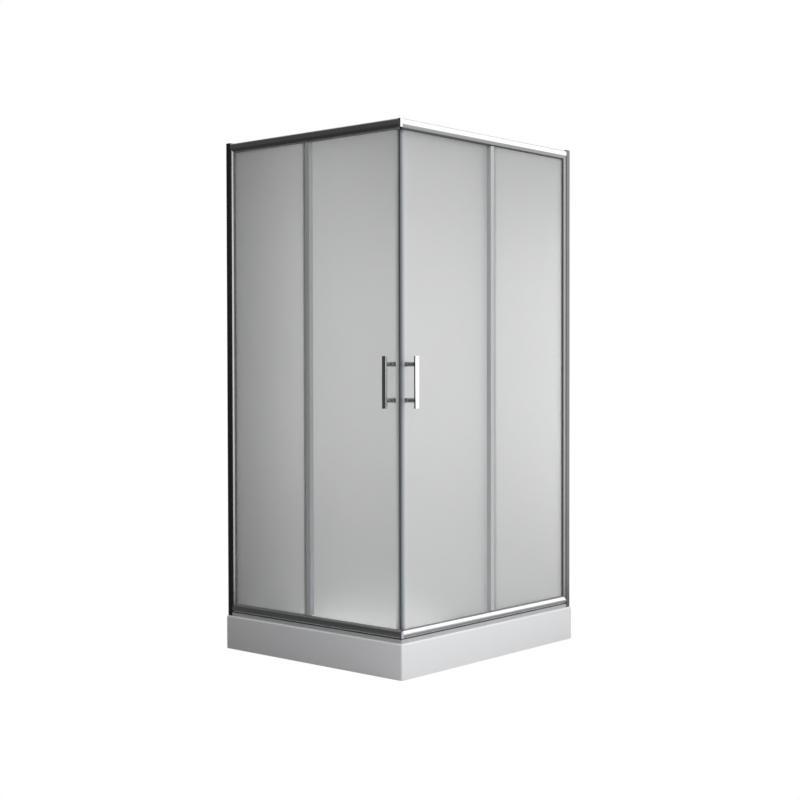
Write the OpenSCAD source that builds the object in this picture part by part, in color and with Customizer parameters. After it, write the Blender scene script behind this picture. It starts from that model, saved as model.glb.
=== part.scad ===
// Corner entry shower enclosure: a rectangular tray, two fixed glass panels and two sliding doors that
// meet at the entry corner. Millimetres, +Z up. The origin is on the floor, below the middle of the
// whole object, handles included. The entry corner is at +X, -Y and the two walls are at -X and +Y.
//
// Each glazed side is drawn in its own frame and then turned into place:
// u runs along the side from the entry corner, v runs inwards from the tray's outer edge, z is up.

/* [Tray] */
// Size of the tray along the front side
tray_w = 900; // [800:10:1000]
// Size of the tray along the right-hand side
tray_d = 1000; // [900:10:1100]
// Height of the tray's rim above the floor
tray_h = 125; // [118:1:160]
// Thickness of the acrylic shell
shell_t = 5; // [4:0.5:6]
// Rounding of the tray's outer edges
tray_edge_r = 6; // [5:0.5:10]
// Width of the flat rim round the basin
rim_w = 72; // [66:1:90]
// Depth of the basin below the rim
basin_depth = 42; // [30:1:46]
// Plan radius of the basin's corners
basin_corner_r = 70; // [40:5:120]
// Radius between the basin's wall and its floor
basin_cove_r = 16; // [8:1:24]
// Height of the short flange along the two walls
wall_flange_h = 40; // [25:1:50]

/* [Tray support] */
// Side of the square support tubes
tube_w = 25; // [20:1:30]
// Wall of the support tubes
tube_t = 2; // [1.5:0.5:3]
// Distance of the outer tubes from the tray's edge
tube_inset = 130; // [110:5:160]
// Distance of the tube ends from the tray's edge
tube_end_inset = 95; // [90:5:130]
// Distance of the feet from the tube ends
foot_inset = 55; // [35:5:80]
// Radius of a foot's pad
foot_r = 26; // [20:1:35]
// Thickness of a foot's pad
foot_t = 8; // [6:1:12]
// Radius of the boss on a foot's pad
foot_boss_r = 12; // [10:1:15]
// Height of the boss on a foot's pad
foot_boss_h = 7; // [5:1:9]
// Radius of the threaded foot rod
rod_r = 6; // [5:0.5:7]
// Thickness of a lock nut
nut_t = 10; // [6:1:12]
// Corner radius of a hexagonal lock nut
nut_r = 11; // [10:0.5:14]

/* [Drain] */
// Distance of the drain's centre from both walls
drain_inset = 235; // [225:5:300]
// Radius of the drain hole in the tray
drain_hole_r = 45; // [40:1:48]
// Radius of the chrome drain flange
drain_flange_r = 57; // [54:1:65]
// Thickness of the drain flange
drain_flange_t = 2; // [1.5:0.5:3]
// Wall of the drain's throat and of the siphon bell
drain_wall = 2; // [1.5:0.5:2.5]
// Depth of the drain's throat below the tray's shell
throat_drop = 8; // [4:1:14]
// Clearance of the drain's throat in the tray and the trap
drain_gap = 0.3; // [0.1:0.1:1]
// Thickness of the seal between the tray and the trap
seal_t = 2; // [1:0.5:3]
// Radius of the lift-off drain cover
cover_r = 52; // [50:1:53]
// Height of the inlet gap under the cover
cover_gap = 3; // [2:0.5:5]
// Thickness of the cover
cover_t = 6; // [4:0.5:8]
// Radius of the bell under the cover
bell_r = 30; // [24:1:34]
// Depth of the bell below the drain flange
bell_drop = 22; // [10:1:30]
// Size of the lugs that the cover stands on
lug_w = 5; // [3:0.5:6]
// Width of the cover's bevelled edge
cover_bevel = 10; // [4:1:16]
// Height of the trap's body
trap_h = 60; // [56:1:68]
// Width of the trap's rim round the drain hole
trap_lip = 8; // [6:1:12]
// Wall of the trap's body
trap_t = 3; // [2:0.5:4]
// Outer radius of the waste outlet
outlet_r = 20; // [16:1:20]
// Length of the waste outlet's spigot
outlet_len = 40; // [30:1:60]
// Thickness of the collar behind the spigot
collar_t = 4; // [3:0.5:6]
// Length of the collar beyond the trap's side
collar_len = 2; // [1:0.5:6]

/* [Frame] */
// Height of the glazed frame above the tray's rim
frame_h = 1790; // [1700:10:1900]
// Distance of the rails' outer face from the tray's edge
face_v = 10; // [8:0.5:14]
// Depth of the rails from their outer to their inner face
rail_depth = 48; // [47:0.5:52]
// Thickness of the rails' outer wall
outer_wall_t = 5.6; // [5:0.1:7]
// Wall of the rails' inner webs
web_t = 1.6; // [1.2:0.1:2]
// Thickness of the rails' roof and base plates
plate_t = 2; // [1.5:0.1:2.5]
// Height of the top rail
top_rail_h = 30; // [29:0.5:36]
// Height of the bottom rail
bottom_rail_h = 41; // [40:0.5:46]
// Height of the plain foot of the bottom rail
rail_foot_h = 12.5; // [10:0.5:14]
// Set-back and bevel of the foot of the bottom rail
foot_set = 1; // [0.5:0.1:1.5]
// Radius of the bowed face of the bottom rail
bottom_bow_r = 24; // [22:1:30]
// Set-back of the groove under the bowed face
groove_set = 4; // [3:0.1:4.5]
// Height of the groove under the bowed face
groove_h = 3.5; // [2:0.5:5]
// Depth of the fixed pane's seat below the bottom rail's top
seat_drop = 16; // [14:0.5:18]
// Height of the partition below the bottom rail's top
partition_drop = 4; // [0:0.5:8]
// Height of the inner wall below the bottom rail's top
back_drop = 26; // [20:0.5:34]
// Radius of the bowed face of the top rail
top_bow_r = 40; // [30:1:80]
// Height of the set-back lip along the top
lip_h = 2.5; // [1.5:0.5:4]
// Set-back of the lip
lip_set = 2.5; // [1:0.5:3]
// Height of the bevel along the top rail's lower edge
bevel_h = 11; // [8:0.5:12]
// Set-back of the bevel at the lower edge
bevel_set = 4; // [2:0.5:4.5]
// Thickness of the seal bead under the bottom rails
bead_t = 1.5; // [1:0.5:2]

/* [Wall profiles] */
// Width of the wall profile, seen from outside
wall_face = 21; // [18:0.5:30]
// Thickness of the wall profile
wall_t = 2; // [1.5:0.1:2.5]
// Visible width of the jamb that slides in the wall profile
jamb_face = 13; // [10:0.5:20]
// Clearance between the jamb and the wall profile
jamb_gap = 0.2; // [0.1:0.05:0.3]
// Distance of the jamb's legs from the wall
jamb_wall_gap = 4; // [3:0.5:8]
// Height of the wall profile's end above the top rail
wall_rise = 1.5; // [0.5:0.5:5]
// Thickness of the cap on the wall profile
cap_t = 2.5; // [1.5:0.5:4]
// Radius of the wall screw holes
wall_hole_r = 2.6; // [2:0.1:3]
// Distance of the outer wall screw holes from the frame's ends
wall_hole_z = 145; // [100:5:180]
// Radius of the jamb's set screws
jamb_screw_r = 2; // [1.5:0.1:2.5]
// Distance of the outer set screws from the frame's ends
jamb_screw_z = 245; // [200:5:400]
// Depth of a set screw's tip behind the jamb's inner face
set_screw_depth = 5; // [3:0.5:6]
// Thickness of a set screw's head
set_head_t = 2; // [1:0.5:3]

/* [Corner connectors] */
// Face of a corner connector along each side
connector_face = 10; // [8:0.5:14]
// How far a connector stands proud of the rails
connector_proud = 0.4; // [0.1:0.1:1]
// Length of a connector's tongues inside the rails
tongue_len = 40; // [25:1:60]
// Clearance round a tongue
tongue_gap = 0.2; // [0.1:0.05:0.4]
// Height of the tongues in the top rails
top_tongue_h = 18; // [10:1:19]
// Radius of the connector screws
corner_screw_r = 2; // [1.5:0.1:2.5]
// Length of the connector screws
corner_screw_len = 11; // [6:0.5:12]
// Thickness of the connector screws' heads
corner_head_t = 1.5; // [1:0.1:2]

/* [Glass] */
// Thickness of the glass panes
glass_t = 5; // [4:0.5:6]
// Thickness of the gasket on each side of a fixed pane
gasket_t = 2.9; // [2:0.1:3.5]
// Clearance round every gasket
gasket_gap = 0.1; // [0.05:0.05:0.2]
// How far the gaskets show beyond the rails and the jamb
gasket_show = 5; // [3:0.5:7]
// Depth of the jamb's slot behind the mouth
slot_depth = 13; // [8:0.5:20]
// Distance of the fixed panes' free edges from the middle of their sides, towards the wall
free_edge_set = 12; // [0:1:20]
// Overlap of a closed door behind its fixed pane
overlap = 44; // [42:1:60]

/* [Doors] */
// Clearance between the rails' partition and the door glass
door_gap = 8; // [7:0.5:10]
// Distance of a door's leading glass edge from the tray's corner
door_lead = 50; // [49:0.5:60]
// Clearance of the door glass below the top rail's roof
door_top_gap = 3; // [2:0.5:4]
// Distance of the door's roller holes from its glass edge
hub_edge = 9.5; // [8.5:0.5:12]
// Distance of the rollers from the door's vertical edges
hub_inset = 60; // [40:1:90]
// Width of the seal strips on the panes' free edges
strip_w = 20; // [12:0.5:22]
// Wall of the seal strips
strip_t = 1.2; // [0.8:0.1:1.5]
// Clearance of a seal's lip from the moving glass
lip_gap = 0.3; // [0.2:0.1:0.5]
// Width of the magnetic seals' clips on the door glass
magnet_clip_w = 6.5; // [5:0.5:12]
// Thickness of the magnet strips
magnet_t = 2; // [1:0.5:2.5]
// Width of the magnet strips
magnet_w = 3.6; // [2.5:0.1:4]
// Distance of the door seals from the lower end of the glass
seal_foot = 12; // [11:0.5:30]
// Distance of the door seals from the upper end of the glass
seal_head = 25.5; // [25.5:0.5:40]
// Length of the bumpers that stop the doors
stop_len = 12; // [8:1:20]
// How far the bumpers stand out beside the glass
stop_cheek = 3; // [1:0.5:5]
// How far the bumpers reach over the ends of the glass
stop_reach = 10; // [5:0.5:11]
// Distance of the bumpers from the jambs
stop_set = 6.5; // [4:0.5:20]

/* [Rollers] */
// Outer radius of a grooved roller
wheel_r = 10.5; // [9.5:0.1:10.8]
// Depth of a roller's groove
groove_depth = 2; // [1.5:0.1:2.5]
// Width of a roller's groove
groove_w = 2.2; // [2:0.1:3]
// Width of a roller
wheel_w = 8; // [7:0.5:9]
// Distance of a roller from the door glass
wheel_gap = 5.3; // [4:0.1:5.5]
// Running clearance between a roller and its track
run_gap = 0.05; // [0.02:0.01:0.1]
// Radius of a roller's axle
axle_r = 2.5; // [2:0.1:3.5]
// Radius of the hub's shank through the glass
shank_r = 4; // [3:0.5:4.5]
// Clearance of the shank in the glass
shank_gap = 0.2; // [0.1:0.1:0.5]
// Radius of the hub's flanges on the glass
hub_flange_r = 7; // [6:0.5:8]
// Thickness of the hub's outer flange
hub_flange_t = 3; // [2:0.5:5]
// Clearance between a roller and its hub's flange
wheel_side_gap = 0.6; // [0.4:0.1:1]
// Radius of the head on the axle's end
axle_head_r = 4; // [3.5:0.5:6]
// Thickness of the head on the axle's end
axle_head_t = 1.2; // [0.8:0.1:1.5]
// Clearance between a roller and the axle's head
axle_head_gap = 0.3; // [0.2:0.1:0.5]
// Clearance above the top rollers
wheel_top_gap = 2; // [1:0.5:3]
// Height of the track rib in the top rail
top_rib_h = 3; // [2.5:0.1:4]
// Height of the track rib in the bottom rail
bottom_rib_h = 16; // [15:0.5:20]

/* [Handles] */
// Length of a handle's flat bar
bar_len = 180; // [140:5:400]
// Width of the bar, along the glass
bar_w = 20; // [16:1:30]
// Thickness of the bar
bar_t = 8; // [6:0.5:12]
// Rounding of the bar's long edges
bar_edge_r = 2; // [1:0.5:3]
// Distance of the posts from each other
post_pitch = 124; // [80:1:300]
// Radius of a post
post_r = 8; // [6:0.5:9]
// Length of a post, from the bar to its washer
post_len = 42; // [30:1:60]
// Thickness of the washers between metal and glass
washer_t = 1; // [0.5:0.5:1.5]
// Clearance between the handle's caps and the magnetic seal's clip
handle_gap = 1; // [0.5:0.5:20]
// Height of the handle's middle above the floor
handle_z = 1018; // [900:1:1100]
// Radius of the handle's screws
handle_screw_r = 3; // [2.5:0.5:4]
// Thickness of the round caps on the inner side
knob_t = 6; // [4:0.5:10]
// Radius of the round caps on the inner side
knob_r = 9; // [8:0.5:12]
// Clearance of the handle screws in the glass and the posts
screw_gap = 0.05; // [0.02:0.01:0.1]

/* [Hidden] */
$fn = 64;
eps = 1;

// Planes across a side, from the tray's edge inwards
slot_v0 = face_v + outer_wall_t;
slot_v1 = slot_v0 + glass_t + 2 * gasket_t;
fixed_v0 = slot_v0 + gasket_t;
fixed_v1 = fixed_v0 + glass_t;
partition_v1 = slot_v1 + web_t;
door_v0 = partition_v1 + door_gap;
door_v1 = door_v0 + glass_t;
wheel_v0 = door_v1 + wheel_gap;
wheel_v1 = wheel_v0 + wheel_w;
rib_v = (wheel_v0 + wheel_v1) / 2;
back_v = face_v + rail_depth;
wall_v1 = partition_v1 + wall_t;
corner_screw_u = face_v + connector_face + tongue_len / 2;
corner_screw_v = (slot_v0 + slot_v1) / 2;
clip_v0 = door_v0 - strip_t;
clip_v1 = door_v1 + strip_t;

// Levels of the frame
rail_top = tray_h + frame_h;
roof_z = rail_top - plate_t;
top_rail_z = rail_top - top_rail_h;
base_z = tray_h + bead_t;
base_top_z = base_z + plate_t;
sill_z = tray_h + bottom_rail_h;
groove_z = tray_h + rail_foot_h + groove_h;
seat_z = sill_z - seat_drop;
roll_r = wheel_r - groove_depth;
top_axle_z = roof_z - wheel_top_gap - wheel_r;
ledge_z = top_axle_z - roll_r - run_gap - top_rib_h;
bottom_axle_z = base_top_z + bottom_rib_h + roll_r + run_gap;
door_z0 = bottom_axle_z - hub_edge;
door_z1 = roof_z - door_top_gap;
strip_z0 = sill_z + gasket_show + lip_gap;
strip_z1 = top_rail_z - gasket_show - lip_gap;
fixed_z0 = seat_z + gasket_t;
fixed_z1 = roof_z - gasket_t;

// Openings from the tray's corner to the fixed panes
front_opening = tray_w / 2 + free_edge_set;
side_opening = tray_d / 2 + free_edge_set;

// Handles
bar_v1 = door_v0 - washer_t - post_len;
bar_v0 = bar_v1 - bar_t;
proud = -bar_v0;
handle_u = door_lead + magnet_clip_w + handle_gap + max(knob_r, post_r);
post_zs = [handle_z - post_pitch / 2, handle_z + post_pitch / 2];

// The entry corner of the tray, with the origin under the middle of the whole object
corner_x = (tray_w - proud) / 2;
corner_y = -(tray_d - proud) / 2;

// The basin, the drain and the support
basin_z = tray_h - basin_depth;
under_z = basin_z - shell_t;
drain_x = corner_x - tray_w + drain_inset;
drain_y = corner_y + tray_d - drain_inset;
throat_r = drain_hole_r - drain_gap;
trap_r = drain_hole_r + trap_lip;
trap_z = under_z - trap_h;
outlet_z = trap_z + outlet_r + collar_t;
tube_z = under_z - tube_w;
tube_ys = [tube_inset, tray_d / 2, tray_d - tube_inset];
foot_us = [tube_end_inset + foot_inset, tray_w - tube_end_inset - foot_inset];
feet = concat(
    [for (u = foot_us, v = [tube_ys[0], tube_ys[2]]) [u, v]],
    [[tray_w / 2, tube_ys[1]]]
);

// Ends of the wall side of a glazed side of the length run
function wall_u(run) = run - wall_face;
function jamb_u(run) = wall_u(run) - jamb_face;
function door_end(opening) = opening + overlap;
function hub_us(opening) = [door_lead + hub_inset, door_end(opening) - hub_inset];
function set_screw_u(run) = wall_u(run) + (wall_face - jamb_wall_gap) / 2;
function hole_zs(inset, count) = [
    for (i = [0 : count - 1]) tray_h + inset + (frame_h - 2 * inset) * i / (count - 1)
];

// Placing helpers
module on_front() {
    translate([corner_x, corner_y, 0])
        mirror([1, 0, 0])
            children();
}

module on_side() {
    translate([corner_x, corner_y, 0])
        rotate([0, 0, 90])
            children();
}

module on_tray() {
    translate([corner_x - tray_w, corner_y, 0])
        children();
}

module slab(us, vs, zs) {
    translate([us[0], vs[0], zs[0]])
        cube([us[1] - us[0], vs[1] - vs[0], zs[1] - zs[0]]);
}

module area(vs, zs) {
    translate([vs[0], zs[0]])
        square([vs[1] - vs[0], zs[1] - zs[0]]);
}

module along_u(u0, u1) {
    translate([u0, 0, 0])
        rotate([90, 0, 90])
            linear_extrude(u1 - u0)
                children();
}

module rod_v(u, z, v0, v1, r) {
    translate([u, v0, z])
        rotate([-90, 0, 0])
            cylinder(r = r, h = v1 - v0);
}

module rounded_plate(size, h, r) {
    linear_extrude(h)
        rounded_outline(size, r);
}

module rounded_outline(size, r) {
    union() {
        translate([r, 0])
            square([size[0] - 2 * r, size[1]]);
        translate([0, r])
            square([size[0], size[1] - 2 * r]);
        for (x = [r, size[0] - r], y = [r, size[1] - r])
            translate([x, y])
                circle(r = r);
    }
}

// A block with the radius r on its upright and top edges
module crowned_block(size, r) {
    top = size[2] - r;
    rounded_plate([size[0], size[1]], top, r);
    translate([r, r, 0])
        cube([size[0] - 2 * r, size[1] - 2 * r, size[2]]);
    for (x = [r, size[0] - r])
        translate([x, r, top])
            rotate([-90, 0, 0])
                cylinder(r = r, h = size[1] - 2 * r);
    for (y = [r, size[1] - r])
        translate([r, y, top])
            rotate([0, 90, 0])
                cylinder(r = r, h = size[0] - 2 * r);
    for (x = [r, size[0] - r], y = [r, size[1] - r])
        translate([x, y, top])
            sphere(r = r);
}

// The basin's inside
module basin() {
    w = tray_w - 2 * rim_w;
    d = tray_d - 2 * rim_w;
    corner = basin_corner_r;
    high = basin_depth + eps;
    translate([rim_w, rim_w, basin_z]) {
        along_y(0, w, corner, d - corner, basin_cove_r, high);
        along_x(corner, w - corner, 0, d, basin_cove_r, high);
        for (x = [corner, w - corner], y = [corner, d - corner])
            translate([x, y, 0])
                rotate_extrude()
                    half_pan(corner, basin_cove_r, high);
    }
}

// The basin's underside, one shell thickness outside the basin
module basin_underside() {
    w = tray_w - 2 * rim_w + 2 * shell_t;
    d = tray_d - 2 * rim_w + 2 * shell_t;
    cove = basin_cove_r + shell_t;
    high = basin_depth + shell_t + eps;
    translate([rim_w - shell_t, rim_w - shell_t, under_z])
        intersection() {
            rounded_plate([w, d], high, basin_corner_r + shell_t);
            along_y(0, w, -eps, d + eps, cove, high);
            along_x(-eps, w + eps, 0, d, cove, high);
        }
}

// Half the section of a pan with the radius cove between its wall and its floor
module half_pan(w, cove, h) {
    square([w - cove, h]);
    translate([0, cove])
        square([w, h - cove]);
    translate([w - cove, cove])
        circle(r = cove);
}

module full_pan(w, cove, h) {
    translate([w / 2, 0]) {
        half_pan(w / 2, cove, h);
        mirror([1, 0])
            half_pan(w / 2, cove, h);
    }
}

// A pan from x0 to x1, drawn out along Y
module along_y(x0, x1, y0, y1, cove, h) {
    translate([x0, y1, 0])
        rotate([90, 0, 0])
            linear_extrude(y1 - y0)
                full_pan(x1 - x0, cove, h);
}

// A pan from y0 to y1, drawn out along X
module along_x(x0, x1, y0, y1, cove, h) {
    translate([x0, y0, 0])
        rotate([90, 0, 90])
            linear_extrude(x1 - x0)
                full_pan(y1 - y0, cove, h);
}

// Tray and its support
module tray() {
    color([0.93, 0.93, 0.94])
        on_tray()
            difference() {
                crowned_block([tray_w, tray_d, tray_h], tray_edge_r);
                difference() {
                    translate([shell_t, shell_t, -eps])
                        crowned_block(
                            [tray_w - 2 * shell_t, tray_d - 2 * shell_t, tray_h - shell_t + eps],
                            max(tray_edge_r - shell_t, eps)
                        );
                    basin_underside();
                }
                basin();
                translate([-eps, shell_t, -eps])
                    cube([shell_t + 2 * eps, tray_d, tray_h - wall_flange_h + eps]);
                translate([-eps, tray_d - shell_t - eps, -eps])
                    cube([tray_w - shell_t + eps, shell_t + 2 * eps, tray_h - wall_flange_h + eps]);
                translate([drain_inset, tray_d - drain_inset, under_z - eps])
                    cylinder(r = drain_hole_r, h = shell_t + 2 * eps);
            }
}

module tray_tubes() {
    color([0.45, 0.46, 0.48])
        on_tray()
            difference() {
                for (y = tube_ys)
                    translate([tube_end_inset, y - tube_w / 2, tube_z])
                        difference() {
                            cube([tray_w - 2 * tube_end_inset, tube_w, tube_w]);
                            translate([-eps, tube_t, tube_t])
                                cube([tray_w, tube_w - 2 * tube_t, tube_w - 2 * tube_t]);
                        }
                for (p = feet)
                    translate([p[0], p[1], tube_z - eps])
                        cylinder(r = rod_r + screw_gap, h = tube_t + 2 * eps);
            }
}

module tray_foot_pads() {
    color([0.12, 0.12, 0.13])
        on_tray()
            for (p = feet)
                translate([p[0], p[1], 0])
                    difference() {
                        union() {
                            cylinder(r = foot_r, h = foot_t);
                            cylinder(r = foot_boss_r, h = foot_t + foot_boss_h);
                        }
                        translate([0, 0, foot_t / 2])
                            cylinder(r = rod_r + screw_gap, h = foot_t + foot_boss_h);
                    }
}

module tray_foot_rods() {
    color([0.72, 0.72, 0.74])
        on_tray()
            for (p = feet)
                translate([p[0], p[1], foot_t / 2])
                    cylinder(r = rod_r, h = tube_z + tube_w - tube_t - eps - foot_t / 2);
}

module tray_foot_nuts() {
    color([0.72, 0.72, 0.74])
        on_tray()
            for (p = feet)
                translate([p[0], p[1], tube_z - nut_t])
                    difference() {
                        cylinder(r = nut_r, h = nut_t, $fn = 6);
                        translate([0, 0, -eps])
                            cylinder(r = rod_r + screw_gap, h = nut_t + 2 * eps);
                    }
}

// Drain
module drain_flange() {
    color([0.85, 0.86, 0.88])
        translate([drain_x, drain_y, basin_z])
            rotate_extrude()
                polygon([
                    [throat_r - drain_wall, drain_flange_t],
                    [drain_flange_r - drain_flange_t / 2, drain_flange_t],
                    [drain_flange_r, drain_flange_t / 2],
                    [drain_flange_r, 0],
                    [throat_r, 0],
                    [throat_r, -shell_t - throat_drop],
                    [throat_r - drain_wall, -shell_t - throat_drop]
                ]);
}

module drain_gasket() {
    color([0.1, 0.1, 0.11])
        translate([drain_x, drain_y, under_z - seal_t])
            difference() {
                cylinder(r = trap_r, h = seal_t);
                translate([0, 0, -eps])
                    cylinder(r = throat_r + drain_gap, h = seal_t + 2 * eps);
            }
}

module drain_cover() {
    color([0.85, 0.86, 0.88])
        translate([drain_x, drain_y, basin_z + drain_flange_t]) {
            difference() {
                union() {
                    translate([0, 0, cover_gap])
                        rotate_extrude()
                            polygon([
                                [0, 0],
                                [cover_r, 0],
                                [cover_r, cover_t / 2],
                                [cover_r - cover_bevel, cover_t],
                                [0, cover_t]
                            ]);
                    translate([0, 0, -bell_drop])
                        cylinder(r = bell_r, h = bell_drop + cover_gap + eps);
                }
                translate([0, 0, -bell_drop - eps])
                    cylinder(r = bell_r - drain_wall, h = bell_drop + cover_gap + eps);
            }
            for (a = [0, 120, 240])
                rotate([0, 0, a])
                    translate([throat_r + eps, -lug_w / 2, 0])
                        cube([lug_w, lug_w, cover_gap + eps]);
        }
}

module trap_body() {
    collar_x = -trap_r - collar_len;
    color([0.9, 0.9, 0.9])
        translate([drain_x, drain_y, 0])
            difference() {
                union() {
                    translate([0, 0, trap_z])
                        cylinder(r = trap_r, h = trap_h - seal_t);
                    outlet_run(collar_x, outlet_r + collar_t);
                    outlet_run(collar_x - outlet_len, outlet_r);
                }
                translate([0, 0, trap_z + trap_t])
                    cylinder(r = throat_r + drain_gap, h = trap_h);
                outlet_run(collar_x - outlet_len - eps, outlet_r - trap_t);
            }
}

// A round length of the waste outlet, from x to the middle of the trap
module outlet_run(x, r) {
    translate([x, 0, outlet_z])
        rotate([0, 90, 0])
            cylinder(r = r, h = -x);
}

// Rails
module mitre_cut() {
    reach = back_v + 2 * eps;
    translate([0, 0, -eps])
        linear_extrude(rail_top + 2 * eps)
            polygon([[-eps, -eps], [reach, reach], [-eps, reach]]);
}

module connector_notch(z0, z1) {
    mid = face_v + connector_face;
    slab([-eps, mid], [-eps, mid], [z0, z1]);
}

module jamb_wedge(run, z, rise) {
    wu = wall_u(run);
    ju = jamb_u(run);
    translate([0, partition_v1 + jamb_gap, 0])
        rotate([90, 0, 0])
            linear_extrude(partition_v1 + eps)
                polygon([
                    [ju, z],
                    [wu + eps, z + rise * (jamb_face + eps)],
                    [wu + eps, z - rise * eps],
                    [ju, z - rise * eps]
                ]);
}

module top_rail_section() {
    bow_half = (top_rail_h - lip_h - bevel_h) / 2;
    bow_mid = rail_top - lip_h - bow_half;
    bow_set = top_bow_r - sqrt(top_bow_r * top_bow_r - bow_half * bow_half);
    rib_v0 = rib_v - web_t / 2;
    rib_v1 = rib_v + web_t / 2;
    polygon([
        [face_v + lip_set, rail_top],
        [face_v + lip_set, rail_top - lip_h],
        [face_v + bow_set, rail_top - lip_h],
        [face_v + bow_set, top_rail_z + bevel_h],
        [face_v + bevel_set, top_rail_z],
        [slot_v0, top_rail_z],
        [slot_v0, roof_z],
        [slot_v1, roof_z],
        [slot_v1, top_rail_z],
        [partition_v1, top_rail_z],
        [partition_v1, roof_z],
        [back_v - web_t, roof_z],
        [back_v - web_t, ledge_z],
        [rib_v1, ledge_z],
        [rib_v1, ledge_z + top_rib_h],
        [rib_v0, ledge_z + top_rib_h],
        [rib_v0, ledge_z],
        [wheel_v0, ledge_z],
        [wheel_v0, ledge_z - web_t],
        [back_v, ledge_z - web_t],
        [back_v, rail_top]
    ]);
    intersection() {
        translate([face_v + top_bow_r, bow_mid])
            circle(r = top_bow_r);
        area([face_v - eps, slot_v0 - eps / 2], [bow_mid - bow_half, bow_mid + bow_half]);
    }
}

module top_rail(run) {
    difference() {
        along_u(0, wall_u(run))
            top_rail_section();
        mitre_cut();
        connector_notch(top_rail_z - eps, rail_top + eps);
        jamb_wedge(run, top_rail_z, 1);
        translate([corner_screw_u, corner_screw_v, roof_z - eps])
            cylinder(r = corner_screw_r + screw_gap, h = plate_t + 2 * eps);
    }
}

module bottom_rail_section() {
    bow_mid = (groove_z + sill_z) / 2;
    bow_half = (sill_z - groove_z) / 2;
    bow_set = bottom_bow_r - sqrt(bottom_bow_r * bottom_bow_r - bow_half * bow_half);
    rib_v0 = rib_v - web_t / 2;
    rib_v1 = rib_v + web_t / 2;
    rib_top = base_top_z + bottom_rib_h;
    difference() {
        polygon([
            [face_v + foot_set, base_z],
            [back_v, base_z],
            [back_v, sill_z - back_drop],
            [back_v - web_t, sill_z - back_drop],
            [back_v - web_t, base_top_z],
            [rib_v1, base_top_z],
            [rib_v1, rib_top],
            [rib_v0, rib_top],
            [rib_v0, base_top_z],
            [partition_v1, base_top_z],
            [partition_v1, sill_z - partition_drop],
            [slot_v1, sill_z - partition_drop],
            [slot_v1, seat_z],
            [slot_v0, seat_z],
            [slot_v0, sill_z],
            [face_v + bow_set, sill_z],
            [face_v + bow_set, groove_z],
            [face_v + groove_set, groove_z],
            [face_v + groove_set, tray_h + rail_foot_h + foot_set],
            [face_v + foot_set, tray_h + rail_foot_h]
        ]);
        area([slot_v0, slot_v1], [base_top_z, seat_z - web_t]);
    }
    intersection() {
        translate([face_v + bottom_bow_r, bow_mid])
            circle(r = bottom_bow_r);
        area([face_v - eps, slot_v0 - eps / 2], [groove_z, sill_z]);
    }
}

module bottom_rail(run) {
    difference() {
        along_u(0, wall_u(run))
            bottom_rail_section();
        mitre_cut();
        connector_notch(groove_z, sill_z + eps);
        jamb_wedge(run, sill_z, -1);
        translate([corner_screw_u, corner_screw_v, seat_z - web_t - eps])
            cylinder(r = corner_screw_r + screw_gap, h = web_t + 2 * eps);
    }
}

module rail_bead() {
    color([0.75, 0.76, 0.78]) {
        on_front()
            bead(tray_w);
        on_side()
            bead(tray_d);
    }
}

module bead(run) {
    v0 = face_v + 2 * foot_set;
    difference() {
        slab([v0, wall_u(run) - jamb_gap], [v0, back_v], [tray_h, base_z]);
        translate([jamb_gap, 0, 0])
            mitre_cut();
    }
}

// Wall side
module wall_profile(run) {
    wu = wall_u(run);
    inner = wall_v1 - wall_t;
    top = rail_top + wall_rise;
    difference() {
        slab([wu, run], [face_v, wall_v1], [tray_h, top]);
        slab([wu - eps, run - wall_t], [face_v + wall_t, inner], [tray_h - eps, top + eps]);
        for (z = hole_zs(wall_hole_z, 4))
            translate([run - wall_t - eps, (face_v + wall_v1) / 2, z])
                rotate([0, 90, 0])
                    cylinder(r = wall_hole_r, h = wall_t + 2 * eps);
        for (z = hole_zs(jamb_screw_z, 3))
            rod_v(set_screw_u(run), z, inner - eps, wall_v1 + eps, jamb_screw_r + screw_gap);
    }
}

module jamb(run) {
    v0 = face_v + wall_t + jamb_gap;
    v1 = partition_v1 - jamb_gap;
    wu = wall_u(run);
    ju = jamb_u(run);
    difference() {
        slab([ju, run - jamb_wall_gap], [v0, v1], [tray_h, rail_top]);
        slab([ju - eps, ju + slot_depth - web_t], [slot_v0, slot_v1], [tray_h - eps, rail_top + eps]);
        slab([wu + web_t, run], [v0 + web_t, v1 - web_t], [tray_h - eps, rail_top + eps]);
        jamb_end(run, top_rail_z, 1);
        jamb_end(run, sill_z, -1);
        for (z = hole_zs(jamb_screw_z, 3))
            rod_v(set_screw_u(run), z, v1 - web_t - eps, v1 + eps, jamb_screw_r + screw_gap);
    }
}

// What a mitred rail end takes off the jamb's visible face
module jamb_end(run, z, rise) {
    wu = wall_u(run);
    ju = jamb_u(run);
    translate([0, partition_v1 + eps, 0])
        rotate([90, 0, 0])
            linear_extrude(partition_v1 + 2 * eps)
                polygon([
                    [ju - eps, z - rise * eps],
                    [wu, z + rise * jamb_face],
                    [wu, z + rise * (top_rail_h + bottom_rail_h)],
                    [ju - eps, z + rise * (top_rail_h + bottom_rail_h)]
                ]);
}

module profile_cap(run) {
    slab([wall_u(run), run], [face_v, wall_v1], [rail_top + wall_rise, rail_top + wall_rise + cap_t]);
    slab(
        [wall_u(run) + web_t, run - wall_t - jamb_gap],
        [face_v + wall_t + jamb_gap, partition_v1 - jamb_gap],
        [rail_top + jamb_gap, rail_top + wall_rise + eps]
    );
}

module profile_caps() {
    color([0.35, 0.36, 0.38]) {
        on_front()
            profile_cap(tray_w);
        on_side()
            profile_cap(tray_d);
    }
}

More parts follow.
